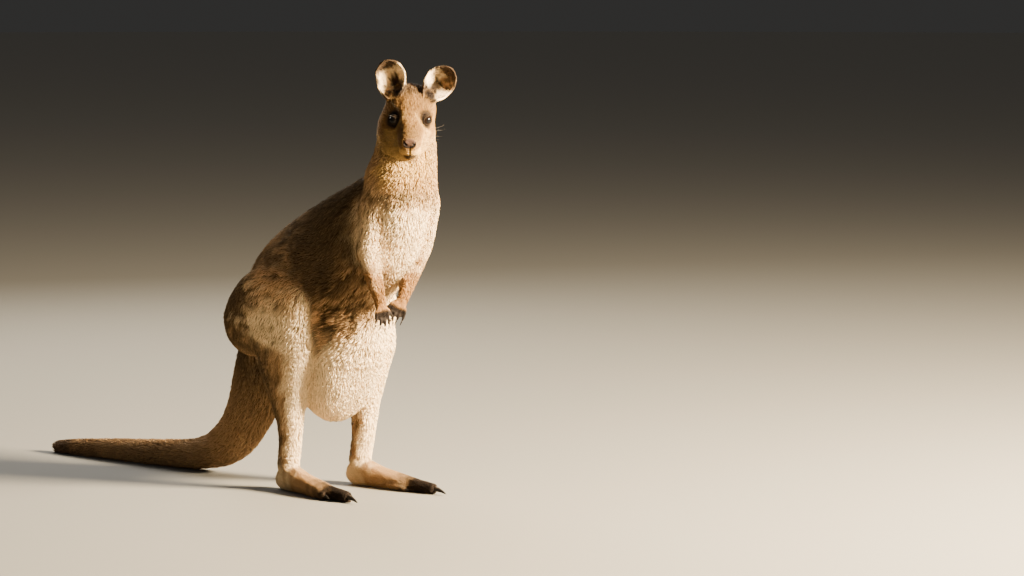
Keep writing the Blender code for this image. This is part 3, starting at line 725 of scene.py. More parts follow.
def mark_tail(points, normals, c):
    """Dark at the root and tan further on, tan below, and dark brown at the end."""
    share = round_line(points, TAIL)[2]
    facing_down = -normals[:, 2] - 0.15 * normals[:, 1] + wobble(points, 0.03, 6) * 0.2
    under = smooth_step(0.25, 0.85, facing_down)
    made = blend(c.back * 0.8, c.tan * 0.80, smooth_step(0.10, 0.50, share))
    made = blend(made, c.tan * 0.62, under * (1 - smooth_step(0.36, 0.55, share)))
    return blend(made, c.dark * 2.8, smooth_step(0.84, 1.0, share + wobble(points, 0.03, 7) * 0.04))


def mark_thigh(points, normals, c, side):
    """Mottled tan, with a dark rump and rear edge, partly painted shade, and a cream front, inner face and
    lower part.
    """
    low, top = (np.array(p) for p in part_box("thigh_" + side_name(side)))
    share = (points - low) / (top - low)
    mottle = wobble(points, 0.024, 8) * 0.13 + wobble(points, 0.008, 9) * 0.15
    made = blend(c.tan * 1.35, c.tan * 0.42, smooth_step(0.10, 0.50, mottle * 1.8 + 0.04))
    made = blend(made, c.cream * 0.85, 0.7 * smooth_step(0.05, 0.35, -mottle * 1.5))
    # Darker towards the rear and where the skin faces back or down: partly dark fur, partly painted shade.
    rear = share[:, 1] + 0.30 * normals[:, 1] - 0.12 * normals[:, 2] + mottle * 1.3
    hip = smooth_step(0.30, 0.50, share[:, 2]) * smooth_step(0.95, 0.70, share[:, 2])
    rear += 0.16 * hip - 0.09 * smooth_step(0.30, 0.05, share[:, 2])
    made = blend(made, c.back, smooth_step(0.46, 0.80, rear))
    inner = smooth_step(0.25, 0.75, -normals[:, 0] * side)
    front = smooth_step(0.30, 0.70, -normals[:, 1] - 0.3 * normals[:, 2] + 0.5 * mottle)
    lower = smooth_step(0.80, 0.36, share[:, 2] + mottle * 0.6)
    lower = lower * smooth_step(0.70, 0.48, share[:, 1] + mottle)
    pale = np.maximum(np.maximum(inner, front), lower)
    return blend(made, c.cream, pale * (1 - smooth_step(0.46, 0.78, rear)))


def mark_shank(points, normals, c, side):
    """Cream in front, dark brown behind, partly painted shade."""
    ragged = wobble(points, 0.016, 10) * 0.18 + wobble(points, 0.006, 16) * 0.20
    # Darker where the skin faces back: partly dark fur, partly painted shade.
    facing = -normals[:, 1] - normals[:, 0] * side * 0.10 + ragged
    made = blend(c.back, c.tan * 0.9, smooth_step(-0.40, 0.10, facing))
    return blend(made, c.cream, smooth_step(0.02, 0.42, facing))


def mark_foot(points, normals, c, side):
    """Cream at the heel and tan along, running to black-brown toes."""
    low, top = (np.array(p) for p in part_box("foot_" + side_name(side)))
    toe = 1 - (points[:, 1] - low[1]) / (top[1] - low[1]) + wobble(points, 0.015, 11) * 0.06
    made = blend(c.cream * 0.85, c.tan * 0.8, smooth_step(0.05, 0.35, toe))
    return blend(made, c.black, smooth_step(0.42, 0.80, toe))


def mark_arm(points, normals, c, side):
    """Pale in front of the upper arm and dark behind, brown spots at the shoulder, a warm brown forearm, and
    black fingers."""
    own = side_name(side)
    shoulder, wrist = spot("upper_arm_" + own, high=1.0), spot("hand_" + own, high=1.0)
    down = (shoulder[2] - points[:, 2]) / (shoulder[2] - wrist[2])
    ragged = wobble(points, 0.018, 12) * 0.10 + wobble(points, 0.008, 17) * 0.06
    ahead = normals @ CHEST_AHEAD + ragged
    outer = blend(c.flank, c.tan * 0.9, smooth_step(0.55, 0.95, down + ragged))
    shoulder_top = smooth_step(0.34, 0.10, down + ragged)
    front = blend(blend(c.tan, c.cream, 0.68), c.tan * 1.1, 0.8 * shoulder_top)
    front = blend(front, c.flank * 2.0, 0.85 * shoulder_top * neck_spots(points))
    made = blend(outer, front, smooth_step(-0.30, 0.20, ahead))
    forearm = c.tan * np.array([0.50, 0.36, 0.19])
    made = blend(made, forearm, 0.92 * smooth_step(0.52, 0.90, down + ragged))
    fingers = smooth_step(-0.012, 0.000, past_palm(points, own) + ragged * 0.03)
    return blend(made, c.black * 0.6, fingers)


def mark_neck(points, normals, c):
    """Brown sides and nape, partly painted shade, and a cream throat with brown spots round the root."""
    front = normals @ unit(Head.ahead * 0.8 + np.array([0.0, -0.35, 0.0]))
    ragged = wobble(points, 0.02, 13) * 0.12
    mottle = wobble(points, 0.014, 18) * 0.22 + wobble(points, 0.006, 22) * 0.18
    # Brown where the skin turns away from the front: partly brown fur, partly painted shade.
    made = blend(c.flank, c.tan * 0.75, smooth_step(-0.35, 0.40, front + ragged))
    cream = c.cream * np.array([0.72, 0.58, 0.32])
    pale = blend(blend(c.tan, cream, 0.45), cream, smooth_step(0.5, 0.9, front + mottle))
    root = smooth_step(PANEL_TOP + 0.09, PANEL_TOP + 0.03, points[:, 2])
    pale = blend(pale, blend(c.tan * 0.9, c.flank * 2.0, 0.8 * neck_spots(points)), 0.75 * root)
    return blend(made, pale, smooth_step(0.36, 0.72, front + ragged + mottle * 0.5))


def mark_eye(made, points, c, cream, fine, side):
    """The marks made so far, with a pale arc before one eye, partly painted light, a black ring and corner,
    and dark lids.
    """
    centre, radius = eye_centre(side)
    away = distances(points, centre) / radius
    front = (points - centre) @ Head.muzzle / radius
    # Pale arc before the eye: partly pale fur, partly painted light on the eye's front corner.
    made = blend(made, cream, 0.55 * line_depth(away - 2.15, 0.35) * smooth_step(0.3, 1.2, front))
    made = blend(made, c.black, 0.97 * (1 - smooth_step(1.25, 1.80 + 0.6 * fine, away)))
    corner = centre + (Head.muzzle * 1.25 - Head.up * 0.35 - Head.left * side * 0.35) * radius
    made = blend(made, c.black, 0.85 * line_depth(distances(points, corner), 0.60 * radius))
    return blend(made, c.nose, 1 - smooth_step(1.02, 1.10, away))


def mark_head(points, normals, c):
    """A brown face, darker on the crown and bridge, with pale cheeks, lips and throat, black under the mouth
    as painted shade, and a black nose, brown over its upper part as painted light."""
    left, along, above = Head.own(points)
    off_middle = np.abs(left)
    fine = wobble(points, 0.007, 14) * 0.12
    face = c.tan * np.array([0.52, 0.45, 0.31])
    cream = c.cream * np.array([0.66, 0.53, 0.29])
    made = blend(face, c.flank * 1.2, 0.75 * smooth_step(0.005, -0.060, along + fine * 0.04))
    speckle = smooth_step(0.0, 0.8, wobble(points, 0.0042, 19) + 0.5 * wobble(points, 0.012, 21))
    made = blend(made, c.flank * 1.3, speckle * (0.22 + 0.38 * smooth_step(0.000, 0.030, above)))
    crown = smooth_step(0.032, 0.050, above + fine * 0.02) * smooth_step(0.004, -0.026, along)
    made = blend(made, c.dark * 1.6, 0.8 * crown)
    throat = smooth_step(-0.026, -0.052, above + fine * 0.06)
    throat = throat * smooth_step(-0.045, 0.015, along + fine * 0.08)
    made = blend(made, cream, throat)
    stripe = line_depth(above + 0.020 + 0.25 * (along - 0.06), 0.010) * smooth_step(0.035, 0.075, along)
    stripe = stripe * (1 - smooth_step(0.112, 0.124, along)) * smooth_step(0.012, 0.020, off_middle)
    made = blend(made, cream, 0.85 * np.clip(stripe + fine, 0, 1))
    bridge = smooth_step(0.060, 0.112, along) * smooth_step(-0.006, 0.010, above)
    made = blend(made, c.flank * 1.5, 0.45 * bridge)
    from_mouth = above - mouth_height(along)
    lip = smooth_step(0.084, 0.106, along) * smooth_step(-0.015, -0.021, above)
    lip = lip * smooth_step(-0.004, 0.000, from_mouth)
    made = blend(made, cream, 0.85 * lip)
    # Black just below the mouth line: painted shade under the lips.
    chin = smooth_step(0.080, 0.100, along) * smooth_step(0.0, -0.003, from_mouth)
    chin = chin * smooth_step(-0.018, -0.008, from_mouth + fine * 0.02)
    chin = chin * smooth_step(0.022, 0.010, off_middle + fine * 0.03)
    made = blend(made, c.black, 0.94 * chin)
    for side in (-1, 1):
        made = mark_eye(made, points, c, cream, fine, side)
        root, axis, mouth = ear_axes("ear_" + side_name(side))[:3]
        bottom = root + mouth * 0.010 + axis * 0.020
        made = blend(made, c.black, 1 - smooth_step(0.021, 0.029, distances(points, bottom)))
    # The nose pad's dark skin is lightened to brown over its upper part as painted light; the nostrils and the
    # underside keep the dark skin.
    nostrils = line_depth(off_middle - 0.0112, 0.0058) * line_depth(above + 0.001, 0.0058)
    darker = np.clip(nostrils * 1.5 + smooth_step(-0.001, -0.009, above), 0, 1)
    pad = blend(c.nose * np.array([4.4, 3.4, 2.8]), c.nose, darker)
    made = blend(made, pad, nose_pad(left, along, above))
    made = blend(made, c.nose, 0.95 * philtrum(left, along, above))
    return blend(made, c.nose, 0.9 * mouth_line(left, along, above))


def mark_ear(points, normals, c, side):
    """A cream lining round a dark hollow, a brown tip, and a dark back and rim. On the left ear only, the
    outer half of the lining is painted shade, a mottled dark tan."""
    inside, share, across, edge = ear_places(points, normals, "ear_" + side_name(side))
    fringe = wobble(points, 0.006, 15) * 0.08
    back = blend(c.tan * 0.6, c.dark * 1.3, smooth_step(0.35, 0.80, share + fringe))
    outward = across * side  # below 0 towards the crown
    is_left = side > 0
    narrow = np.abs(outward + (0.14 if is_left else 0.06))
    hollow = (1 - smooth_step(0.16, 0.44, narrow + fringe)) * (1 - smooth_step(0.50, 0.78, share + fringe))
    lining = blend(c.cream, c.tan * 0.75, smooth_step(0.66, 0.88, share + fringe))
    # Painted shade: on the left ear only, the outer half of the lining is darkened to a mottled tan.
    painted_shade_lining = blend(c.tan * 0.62, c.tan * 0.22, smooth_step(-0.2, 0.6, wobble(points, 0.006, 28)))
    outer = smooth_step(-0.24, 0.02, outward + fringe) * smooth_step(0.22, 0.42, share - 0.25 * outward)
    lining = blend(lining, painted_shade_lining, 0.92 * outer * is_left)
    bottom = 0.26 - 0.5 * np.maximum(outward, 0.0) if is_left else 0.14
    hollow = np.maximum(hollow, smooth_step(0.12, 0.0, share + fringe - bottom))
    lining = blend(lining, blend(c.black, c.flank, smooth_step(0.30, 0.65, share)), hollow)
    far_up = smooth_step(0.36, 0.56, share + 0.30 * outward * is_left)
    rim = smooth_step(0.72, 0.84, edge + fringe * 0.3) * far_up
    return blend(blend(back, lining, inside), c.dark, 0.95 * rim)


EAR_STATIONS = np.linspace(0.0, 1.0, 9)  # where an ear's width is measured, as shares of its length


def ear_axes(node):
    """Where an ear starts, the way it points, the way its hollow faces, its length and its half widths."""
    mesh_points = read(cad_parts[node].data.vertices, "co", 3)
    far = distances(mesh_points, Head.middle)
    root, tip = mesh_points[far < np.quantile(far, 0.08)].mean(0), mesh_points[far.argmax()]
    axis = unit(tip - root)
    mouth = unit(Head.ahead - axis * (Head.ahead @ axis))
    size = np.linalg.norm(tip - root)
    share = (mesh_points - root) @ axis / size
    across = np.abs((mesh_points - root) @ np.cross(axis, mouth))
    widths = np.array([across[np.abs(share - at) < 0.12].max() for at in EAR_STATIONS])
    return root, axis, mouth, size, widths


def ear_places(points, normals, node):
    """For points of an ear: how far they face its hollow's way, their share of its length, their place across
    it, and how near they are to its rim."""
    root, axis, mouth, size, widths = ear_axes(node)
    share = (points - root) @ axis / size
    sideways = (points - root) @ np.cross(axis, mouth)
    edge = np.maximum(share, np.abs(sideways) / np.interp(share, EAR_STATIONS, widths))
    return smooth_step(-0.15, 0.25, normals @ mouth), share, sideways / widths.max(), edge


MARKED_AS = {
    "abdomen": "trunk", "chest": "trunk",
    "tail_base": "tail", "tail_middle": "tail", "tail_tip": "tail",
    "upper_arm": "arm", "forearm": "arm", "hand": "arm",
}
MARKINGS = {
    "trunk": mark_trunk, "pouch": mark_pouch, "tail": mark_tail, "neck": mark_neck, "head": mark_head,
}
SIDED_MARKINGS = {
    "thigh": mark_thigh, "shank": mark_shank, "foot": mark_foot, "arm": mark_arm, "ear": mark_ear,
}


def marking_shares(surface, owners):
    """How much each kind of marking holds at each point, running from one to the next."""
    names = []
    for node in FLESH:
        kind = kind_of(node)
        base = MARKED_AS.get(kind, kind)
        names.append(base + (":" + node.rsplit("_", 1)[1] if base in SIDED_MARKINGS else ""))
    groups = sorted(set(names))
    table = np.array([[name == group for group in groups] for name in names], float)[owners]
    table = surface.softened(table, 16, 0.6)
    table /= table.sum(1)[:, None]
    return {group: table[:, k] for k, group in enumerate(groups)}


def colours_of(surface, shares, c):
    """The colour of the coat at each point, mixed from its parts' own markings."""
    total = np.zeros_like(surface.points)
    for name, weight in shares.items():
        chosen = weight > 0.001
        points, normals = surface.points[chosen], surface.normals[chosen]
        base, _, side = name.partition(":")
        if side:
            value = SIDED_MARKINGS[base](points, normals, c, 1.0 if side == "left" else -1.0)
        else:
            value = MARKINGS[base](points, normals, c)
        total[chosen] += value * weight[chosen, None]
    return total


class Paint:
    """The colours of the sidebar as arrays."""

    def __init__(self, colours):
        for name in ("back", "flank", "tan", "cream", "dark", "black", "nose"):
            setattr(self, name, np.array(getattr(colours, name)))


# ---------------------------------------------------------------- materials
DULL = 0.05  # how strongly hair and skin shine
WET = 0.16  # how strongly eyes and claws shine


class Value:
    """What comes out of a node. Each operator adds its Math node."""

    def __init__(self, look, socket):
        self.look, self.socket = look, socket

    def __add__(self, other):
        return self.look.node("Math", {"operation": "ADD"}, {0: self, 1: other})

    def __sub__(self, other):
        return self.look.node("Math", {"operation": "SUBTRACT"}, {0: self, 1: other})

    def __rsub__(self, other):
        return self.look.node("Math", {"operation": "SUBTRACT"}, {0: other, 1: self})

    def __mul__(self, other):
        return self.look.node("Math", {"operation": "MULTIPLY"}, {0: self, 1: other})

    def __pow__(self, other):
        return self.look.node("Math", {"operation": "POWER"}, {0: self, 1: other})

    __radd__, __rmul__ = __add__, __mul__


class Look:
    """A material being made, with one Principled shader."""

    def __init__(self, name):
        self.material = bpy.data.materials.new(name)
        self.material.use_nodes = True
        self.tree = self.material.node_tree
        self.tree.nodes.clear()

    def put(self, socket, value):
        if isinstance(value, Value):
            self.tree.links.new(value.socket, socket)
        elif socket.type == "RGBA":
            socket.default_value = (*value, 1.0)
        else:
            socket.default_value = value

    def node(self, kind, settings, values, output=0):
        """Adds a node with its settings and its sockets' values or links, and returns one of its outputs."""
        made = self.tree.nodes.new("ShaderNode" + kind)
        for name, value in settings.items():
            setattr(made, name, value)
        for name, value in values.items():
            self.put(made.inputs[name], value)
        return Value(self, made.outputs[output])

    def attribute(self, name, output):
        return self.node("Attribute", {"attribute_name": name}, {}, output)

    def place(self):
        """The place of a point in its object."""
        return self.node("TexCoord", {}, {}, "Object")

    def part(self, vector, axis):
        return self.node("SeparateXYZ", {}, {0: vector}, axis)

    def vector(self, x, y, z):
        return self.node("CombineXYZ", {}, {0: x, 1: y, 2: z})

    def noise(self, scale, detail, place):
        return self.node("TexNoise", {}, {"Vector": place, "Scale": scale, "Detail": detail})

    def scaled(self, colours, share):
        return self.node("VectorMath", {"operation": "SCALE"}, {0: colours, 3: share})

    def mixed(self, share, first, second):
        return self.node("Mix", {"data_type": "RGBA"}, {0: share, 6: first, 7: second}, 2)

    def step(self, value, low, top):
        """From 0 at low to 1 at top, smoothly."""
        return self.node("MapRange", {"interpolation_type": "SMOOTHSTEP"},
                         {"Value": value, "From Min": low, "From Max": top})

    def bump(self, height, distance, strength):
        return self.node("Bump", {}, {"Height": height, "Distance": distance, "Strength": strength})

    def finish(self, **sockets):
        """Sets or links the shader's sockets, whose names are given with _ for a space."""
        shader = self.tree.nodes.new("ShaderNodeBsdfPrincipled")
        for name, value in sockets.items():
            self.put(shader.inputs[name.replace("_", " ")], value)
        out = self.tree.nodes.new("ShaderNodeOutputMaterial")
        self.tree.links.new(shader.outputs[0], out.inputs["Surface"])
        return self.material


def skin_look():
    """Short dense undercoat, and dark pebbled bare skin on the nose and lids."""
    look = Look("skin")
    place = look.place()
    own = look.attribute("coat_colour", "Color")
    bare = look.attribute("bare", "Fac")
    hairs = look.noise(520.0, 4.0, place)
    patches = look.noise(55.0, 3.0, place)
    under = look.scaled(own, 0.50 + hairs * 0.40 + patches * 0.16)
    pebbles = look.node("TexVoronoi", {}, {"Vector": place, "Scale": 620.0}, "Distance")
    bare_colour = look.scaled(own, 0.5 + pebbles * 0.8 + patches * 0.3)
    height = hairs * (1 - bare) * 0.9 + pebbles * bare
    return look.finish(
        Base_Color=look.mixed(bare, under, bare_colour),
        Roughness=0.90 - bare * 0.28 + hairs * 0.05,
        Normal=look.bump(height, 0.0007, 0.7),
        Specular_IOR_Level=DULL)


def coat_look():
    """Tufts, darker at the root, partly as painted shade, streaked with hairs and flecked with pale and dark
    tips.
    """
    look = Look("coat")
    place = look.place()
    own = look.attribute("coat_colour", "Color")
    tuft = look.attribute("tuft", "Vector")
    along, chance, across = (look.part(tuft, axis) for axis in "XYZ")
    hairs = look.noise(1.0, 2.0, look.vector(across * 4.5, along * 0.9, chance * 61.0))
    patches = look.noise(34.0, 4.0, place)
    # Darker towards each tuft's root: partly the hair's darker base, partly painted shade deep in the coat.
    shade = (0.70 + along ** 0.75 * 0.44) * (0.72 + hairs * 0.56)
    shade = shade * (0.84 + patches * 0.32) * (0.86 + chance * 0.28)
    pale = look.step(along, 0.45, 0.95) * look.step(chance, 0.45, 0.95)
    dark = look.step(along, 0.70, 1.0) * look.step(chance, 0.30, 0.05)
    plain = look.scaled(own, shade * (1.0 - dark * 0.45))
    pale = pale * look.step(look.part(own, 0), 0.02, 0.09)
    return look.finish(
        Base_Color=look.mixed(pale * 0.26, plain, (0.56, 0.36, 0.17)),
        Roughness=0.58 + hairs * 0.30,
        Normal=look.bump(hairs, 0.0006, 0.5),
        Specular_IOR_Level=DULL)


def eye_look(iris):
    """Dark pupil and deep brown iris under a clear wet surface."""
    look = Look("eye")
    place = look.place()
    angle = look.attribute("from_gaze", "Fac")
    turn = look.attribute("round_gaze", "Fac")
    spokes = look.noise(1.0, 3.0, look.vector(turn * 26.0, angle * 3.0, 0.0))
    coloured = look.mixed(spokes, iris, (0.012, 0.007, 0.004))
    coloured = look.mixed(look.step(angle, 0.285, 0.325), coloured, (0.012, 0.008, 0.007))
    pupil = look.step(angle + spokes * 0.01, 0.165, 0.190)
    return look.finish(
        Base_Color=look.mixed(pupil, (0.004, 0.003, 0.003), coloured),
        Roughness=0.035 + look.noise(90.0, 2.0, place) * 0.03,
        Specular_IOR_Level=WET)


def claw_look():
    """Dark ridged horn, paler at the root and scuffed at the tip."""
    look = Look("claw")
    place = look.place()
    along = look.attribute("along", "Fac")
    ridges = look.noise(300.0, 3.0, place)
    bands = look.noise(1.0, 2.0, look.vector(along * 9.0, 0.0, 0.0))
    made = look.mixed(look.step(along, 0.0, 0.55), (0.030, 0.022, 0.017), (0.010, 0.008, 0.007))
    made = look.mixed(look.step(along, 0.85, 1.0) * ridges * 0.4, made, (0.09, 0.07, 0.055))
    return look.finish(
        Base_Color=look.scaled(made, 0.75 + bands * 0.5),
        Roughness=0.40 + ridges * 0.30,
        Normal=look.bump(ridges * 0.6 + bands * 0.5, 0.0004, 0.5),
        Specular_IOR_Level=WET)


def hair_look(name, first, second):
    """Stiff single hairs, whose colour runs along them."""
    look = Look(name)
    along = look.attribute("along", "Fac")
    streak = look.noise(400.0, 2.0, look.place())
    return look.finish(
        Base_Color=look.scaled(look.mixed(along, first, second), 0.75 + streak * 0.5),
        Roughness=0.38 + streak * 0.15)


def floor_look():
    """Plain grey-brown, slightly grained."""
    look = Look("floor")
    place = look.place()
    grain = look.noise(90.0, 4.0, place)
    return look.finish(
        Base_Color=look.mixed(grain, (0.150, 0.138, 0.118), (0.172, 0.160, 0.136)),
        Roughness=0.80 + grain * 0.08)


# ---------------------------------------------------------------- lie of the coat
def lie_at(node, points):
    """The way the coat runs at points of one node, before it is laid along the skin."""
    kind, own = kind_of(node), side_name(side_sign(node))
    if kind == "head":
        return unit(points - Head.place(0.0, 0.130, -0.010))
    if kind == "ear":
        return np.tile(unit(spot(node) - Head.middle), (len(points), 1))
    if kind.startswith("tail"):
        return round_line(points, TAIL)[1]
    if kind == "neck":
        return round_line(points, SPINE)[1]
    if kind in ("chest", "abdomen"):
        return unit(round_line(points, SPINE)[1] + np.array([0.0, 0.30, 0.0]))
    shoulder, elbow = spot("upper_arm_" + own, high=1.0), spot("upper_arm_" + own, along=0.75, high=0.0)
    run = {
        "pouch": np.array([0.0, 0.15, -1.0]),
        "thigh": np.array([0.0, 0.45, -1.0]),
        "shank": spot("foot_" + own, along=0.95, high=1.0) - spot("shank_" + own, along=0.10, high=1.0),
        "foot": np.array([0.0, -1.0, -0.12]),
        "upper_arm": elbow - shoulder,
        "forearm": spot("hand_" + own) - elbow,
        "hand": spot("hand_" + own, high=0.0) - spot("forearm_" + own),
    }[kind]
    return np.tile(unit(run), (len(points), 1))


def lie_of_coat(surface, owners):
    """The way the coat runs along the skin at every point, parting round the eyes."""
    points = surface.points
    lie = np.zeros_like(points)
    for number, node in enumerate(FLESH):
        chosen = owners == number
        lie[chosen] = lie_at(node, points[chosen])
    lie = surface.softened(lie, 24)
    for axis in range(3):
        bends = 0.16 * wobble(points, 0.050, 20 + axis) + 0.10 * wobble(points, 0.018, 30 + axis)
        lie[:, axis] += bends
    for side in (-1, 1):
        centre, radius = eye_centre(side)
        near = line_depth(distances(points, centre), 1.9 * radius)
        lie += unit(points - centre) * near[:, None] * 1.6
    lie -= surface.normals * (lie * surface.normals).sum(1)[:, None]
    return unit(lie)


ROOTS_TRIED = 2.4  # in each cell, of which one stays
CELL_NUMBERS = np.array([73856093, 19349663, 83492791])  # make one number of a cell's three


def scatter(surface, chosen, spacing, rng):
    """Roots over the chosen triangles, about one in each cell of their spacing.
    Returns the roots' triangles, the shares of the corners, and their places."""
    corners = surface.points[surface.triangles[chosen]]
    first, second = corners[:, 1] - corners[:, 0], corners[:, 2] - corners[:, 0]
    area = np.linalg.norm(np.cross(first, second), axis=1) / 2
    count = rng.poisson(area / spacing ** 2 * ROOTS_TRIED)
    triangles, spacing = np.repeat(chosen, count), np.repeat(spacing, count)
    a, b = rng.random((2, len(triangles)))
    beyond = a + b > 1
    a, b = np.where(beyond, 1 - a, a), np.where(beyond, 1 - b, b)
    shares = np.stack([1 - a - b, a, b], 1)
    places = (surface.points[surface.triangles[triangles]] * shares[:, :, None]).sum(1)
    cells = np.floor(places / spacing[:, None]).astype(np.int64) @ CELL_NUMBERS
    kept = np.sort(np.unique(cells, return_index=True)[1])
    return triangles[kept], shares[kept], places[kept]


def drawn_together(roots, tips, normals, cell, amount):
    """Tips moved towards the middle of the tips round them, so that tufts gather in locks."""
    warped = roots + np.stack([wobble(roots, 0.030, 40 + axis) for axis in range(3)], 1) * cell * 0.35
    _, lock = np.unique(np.floor(warped / cell).astype(np.int64), axis=0, return_inverse=True)
    lock = lock.ravel()
    count = np.bincount(lock)
    middle = np.stack([np.bincount(lock, tips[:, axis]) / count for axis in range(3)], 1)[lock]
    shift = middle - tips
    shift -= normals * (shift * normals).sum(1)[:, None]
    return tips + shift * amount


def tuft_pattern():
    """The triangles of one tuft: rings of a left, a right and a ridge point, then the tip. The base is
    closed."""
    faces = [(0, 2, 1)]
    last, tip = 3 * TUFT_SEGMENTS - 3, 3 * TUFT_SEGMENTS
    for ring in range(0, last, 3):
        for a, b in ((0, 1), (1, 2), (2, 0)):
            faces += [(ring + a, ring + b, ring + b + 3), (ring + a, ring + b + 3, ring + a + 3)]
    faces += [(last, last + 1, tip), (last + 1, last + 2, tip), (last + 2, last, tip)]
    return np.array(faces)


def shape_tufts(roots, normals, lies, tips, rise, width, rng):
    """Points of the tufts, with each point's share along and across its tuft."""
    sides = np.cross(normals, lies)
    twist = rng.uniform(-0.45, 0.45, len(roots))[:, None]
    sides = unit(sides * np.cos(twist) + normals * np.sin(twist))
    reach = distances(tips, roots)[:, None]
    start = roots - normals * 0.0010
    bend = roots + lies * reach * 0.42 + normals * rise[:, None]
    points, along, across = [], [], []
    for ring in range(TUFT_SEGMENTS):
        t = ring / TUFT_SEGMENTS
        middle = start * (1 - t) ** 2 + bend * 2 * t * (1 - t) + tips * t ** 2
        wide = width[:, None] * (0.70 + 0.75 * t) * (1 - t) ** 0.55 * 0.62
        points += [middle - sides * wide, middle + sides * wide, middle + normals * wide * 0.75]
        along += [t, t, t]
        across += [0.0, 1.0, 0.5]
    points.append(tips)
    return np.stack(points, 1), np.array(along + [1.0]), np.array(across + [0.5])


def unwrapped(points, owners):
    """The places of points on an unwrap of the skin, each node as a band, by turn and by share along."""
    places = np.zeros((len(points), 2))
    nodes = np.unique(owners)
    for band, number in enumerate(nodes):
        chosen = owners == number
        away = points[chosen] - points[chosen].mean(0)
        _, _, axes = np.linalg.svd(away, full_matrices=False)
        along, x, y = (away @ axis for axis in axes)
        turn = np.arctan2(y, x) / (2 * math.pi) + 0.5
        places[chosen, 0] = (band + 0.03 + 0.94 * turn) / len(nodes)
        places[chosen, 1] = 0.01 + 0.98 * (along - along.min()) / np.ptp(along)
    return places


class Coating:
    """The skin with what its coat needs, read back from the attributes it carries."""

    def __init__(self, skin):
        self.surface = Surface(skin.data)
        attributes = skin.data.attributes
        self.owners = read(attributes["owner"].data, "value").astype(int)
        self.depth = read(attributes["depth"].data, "value")
        self.bare = read(attributes["bare"].data, "value")
        self.colours = read(attributes["coat_colour"].data, "color", 4)[:, :3]
        self.lie = lie_of_coat(self.surface, self.owners)
        self.triangle_owners = self.owners[self.surface.triangles[:, 0]]
        self.tree = BVHTree.FromPolygons(self.surface.points.tolist(), self.surface.triangles.tolist())
        self.floor = self.surface.points[:, 2].min()

    def at(self, values, triangles, shares):
        """The values at places on triangles."""
        corners = values[self.surface.triangles[triangles]]
        return (corners * shares.reshape(shares.shape + (1,) * (values.ndim - 1))).sum(1)

    def onto_skin(self, points, height):
        """Points brought to a height above the nearest place of the skin."""
        found = [self.tree.find_nearest(p)[:2] for p in points.tolist()]
        places, normals = (np.array([f[k] for f in found]) for k in (0, 1))
        return places + normals * height[:, None]

    def grow(self, kind, sizes, rng):
        """The tufts of one kind of part: points, triangles, and each point's colour, values and owner."""
        coat = COATS[kind]
        numbers = [n for n, node in enumerate(FLESH) if kind_of(node) == kind]
        chosen = np.flatnonzero(np.isin(self.triangle_owners, numbers))
        corners = self.surface.triangles[chosen]
        fine = np.clip(self.depth[corners[:, 0]] / coat.depth, 0.30, 1.25)
        spacing = coat.spacing * (0.52 + 0.48 * np.minimum(fine, 1.0)) / math.sqrt(sizes.density)
        triangles, shares, roots = scatter(self.surface, chosen, spacing, rng)
        normals = unit(self.at(self.surface.normals, triangles, shares))
        clear = self.at(self.bare, triangles, shares) < 0.35
        clear &= (roots[:, 2] > self.floor + SOLE_BARE) | (normals[:, 2] > -0.2)
        triangles, shares, roots, normals = triangles[clear], shares[clear], roots[clear], normals[clear]
        count = len(roots)
        depth = self.at(self.depth, triangles, shares)
        fine = np.clip(depth / coat.depth, 0.30, 1.25)
        chance = rng.random(count)
        lies = self.at(self.lie, triangles, shares)
        sides = np.cross(normals, unit(lies))
        lies = unit(lies + sides * rng.normal(0, coat.curl, count)[:, None])
        reach = coat.length * (0.30 + 0.70 * fine) * rng.uniform(0.72, 1.22, count)
        height = depth * (0.74 + 0.30 * rng.random(count) + 0.16 * (rng.random(count) > 0.88))
        tips = roots + lies * reach[:, None]
        tips = drawn_together(roots, tips, normals, coat.spacing * 3.4, coat.clump)
        tips = drawn_together(roots, tips, normals, coat.spacing * 7.5, coat.clump * 0.35)
        tips = self.onto_skin(tips, height)
        tips[:, 2] = np.maximum(tips[:, 2], self.floor + TIP_LIFT)
        lies = unit(tips - roots)
        width = coat.width * (0.45 + 0.55 * fine) * rng.uniform(0.75, 1.25, count)
        points, along, across = shape_tufts(roots, normals, lies, tips, height * 0.80, width, rng)
        each = points.shape[1]
        faces = tuft_pattern()[None] + (np.arange(count) * each)[:, None, None]
        colours = self.at(self.colours, triangles, shares)
        tuft = np.stack([np.tile(along, count), np.repeat(chance, each), np.tile(across, count)], 1)
        owners = self.owners[self.surface.triangles[triangles, 0]]
        return {
            "points": points.reshape(-1, 3), "faces": faces.reshape(-1, 3), "tuft": tuft,
            "colours": np.repeat(colours, each, 0), "roots": np.repeat(roots, each, 0),
            "owners": np.repeat(owners, each),
        }


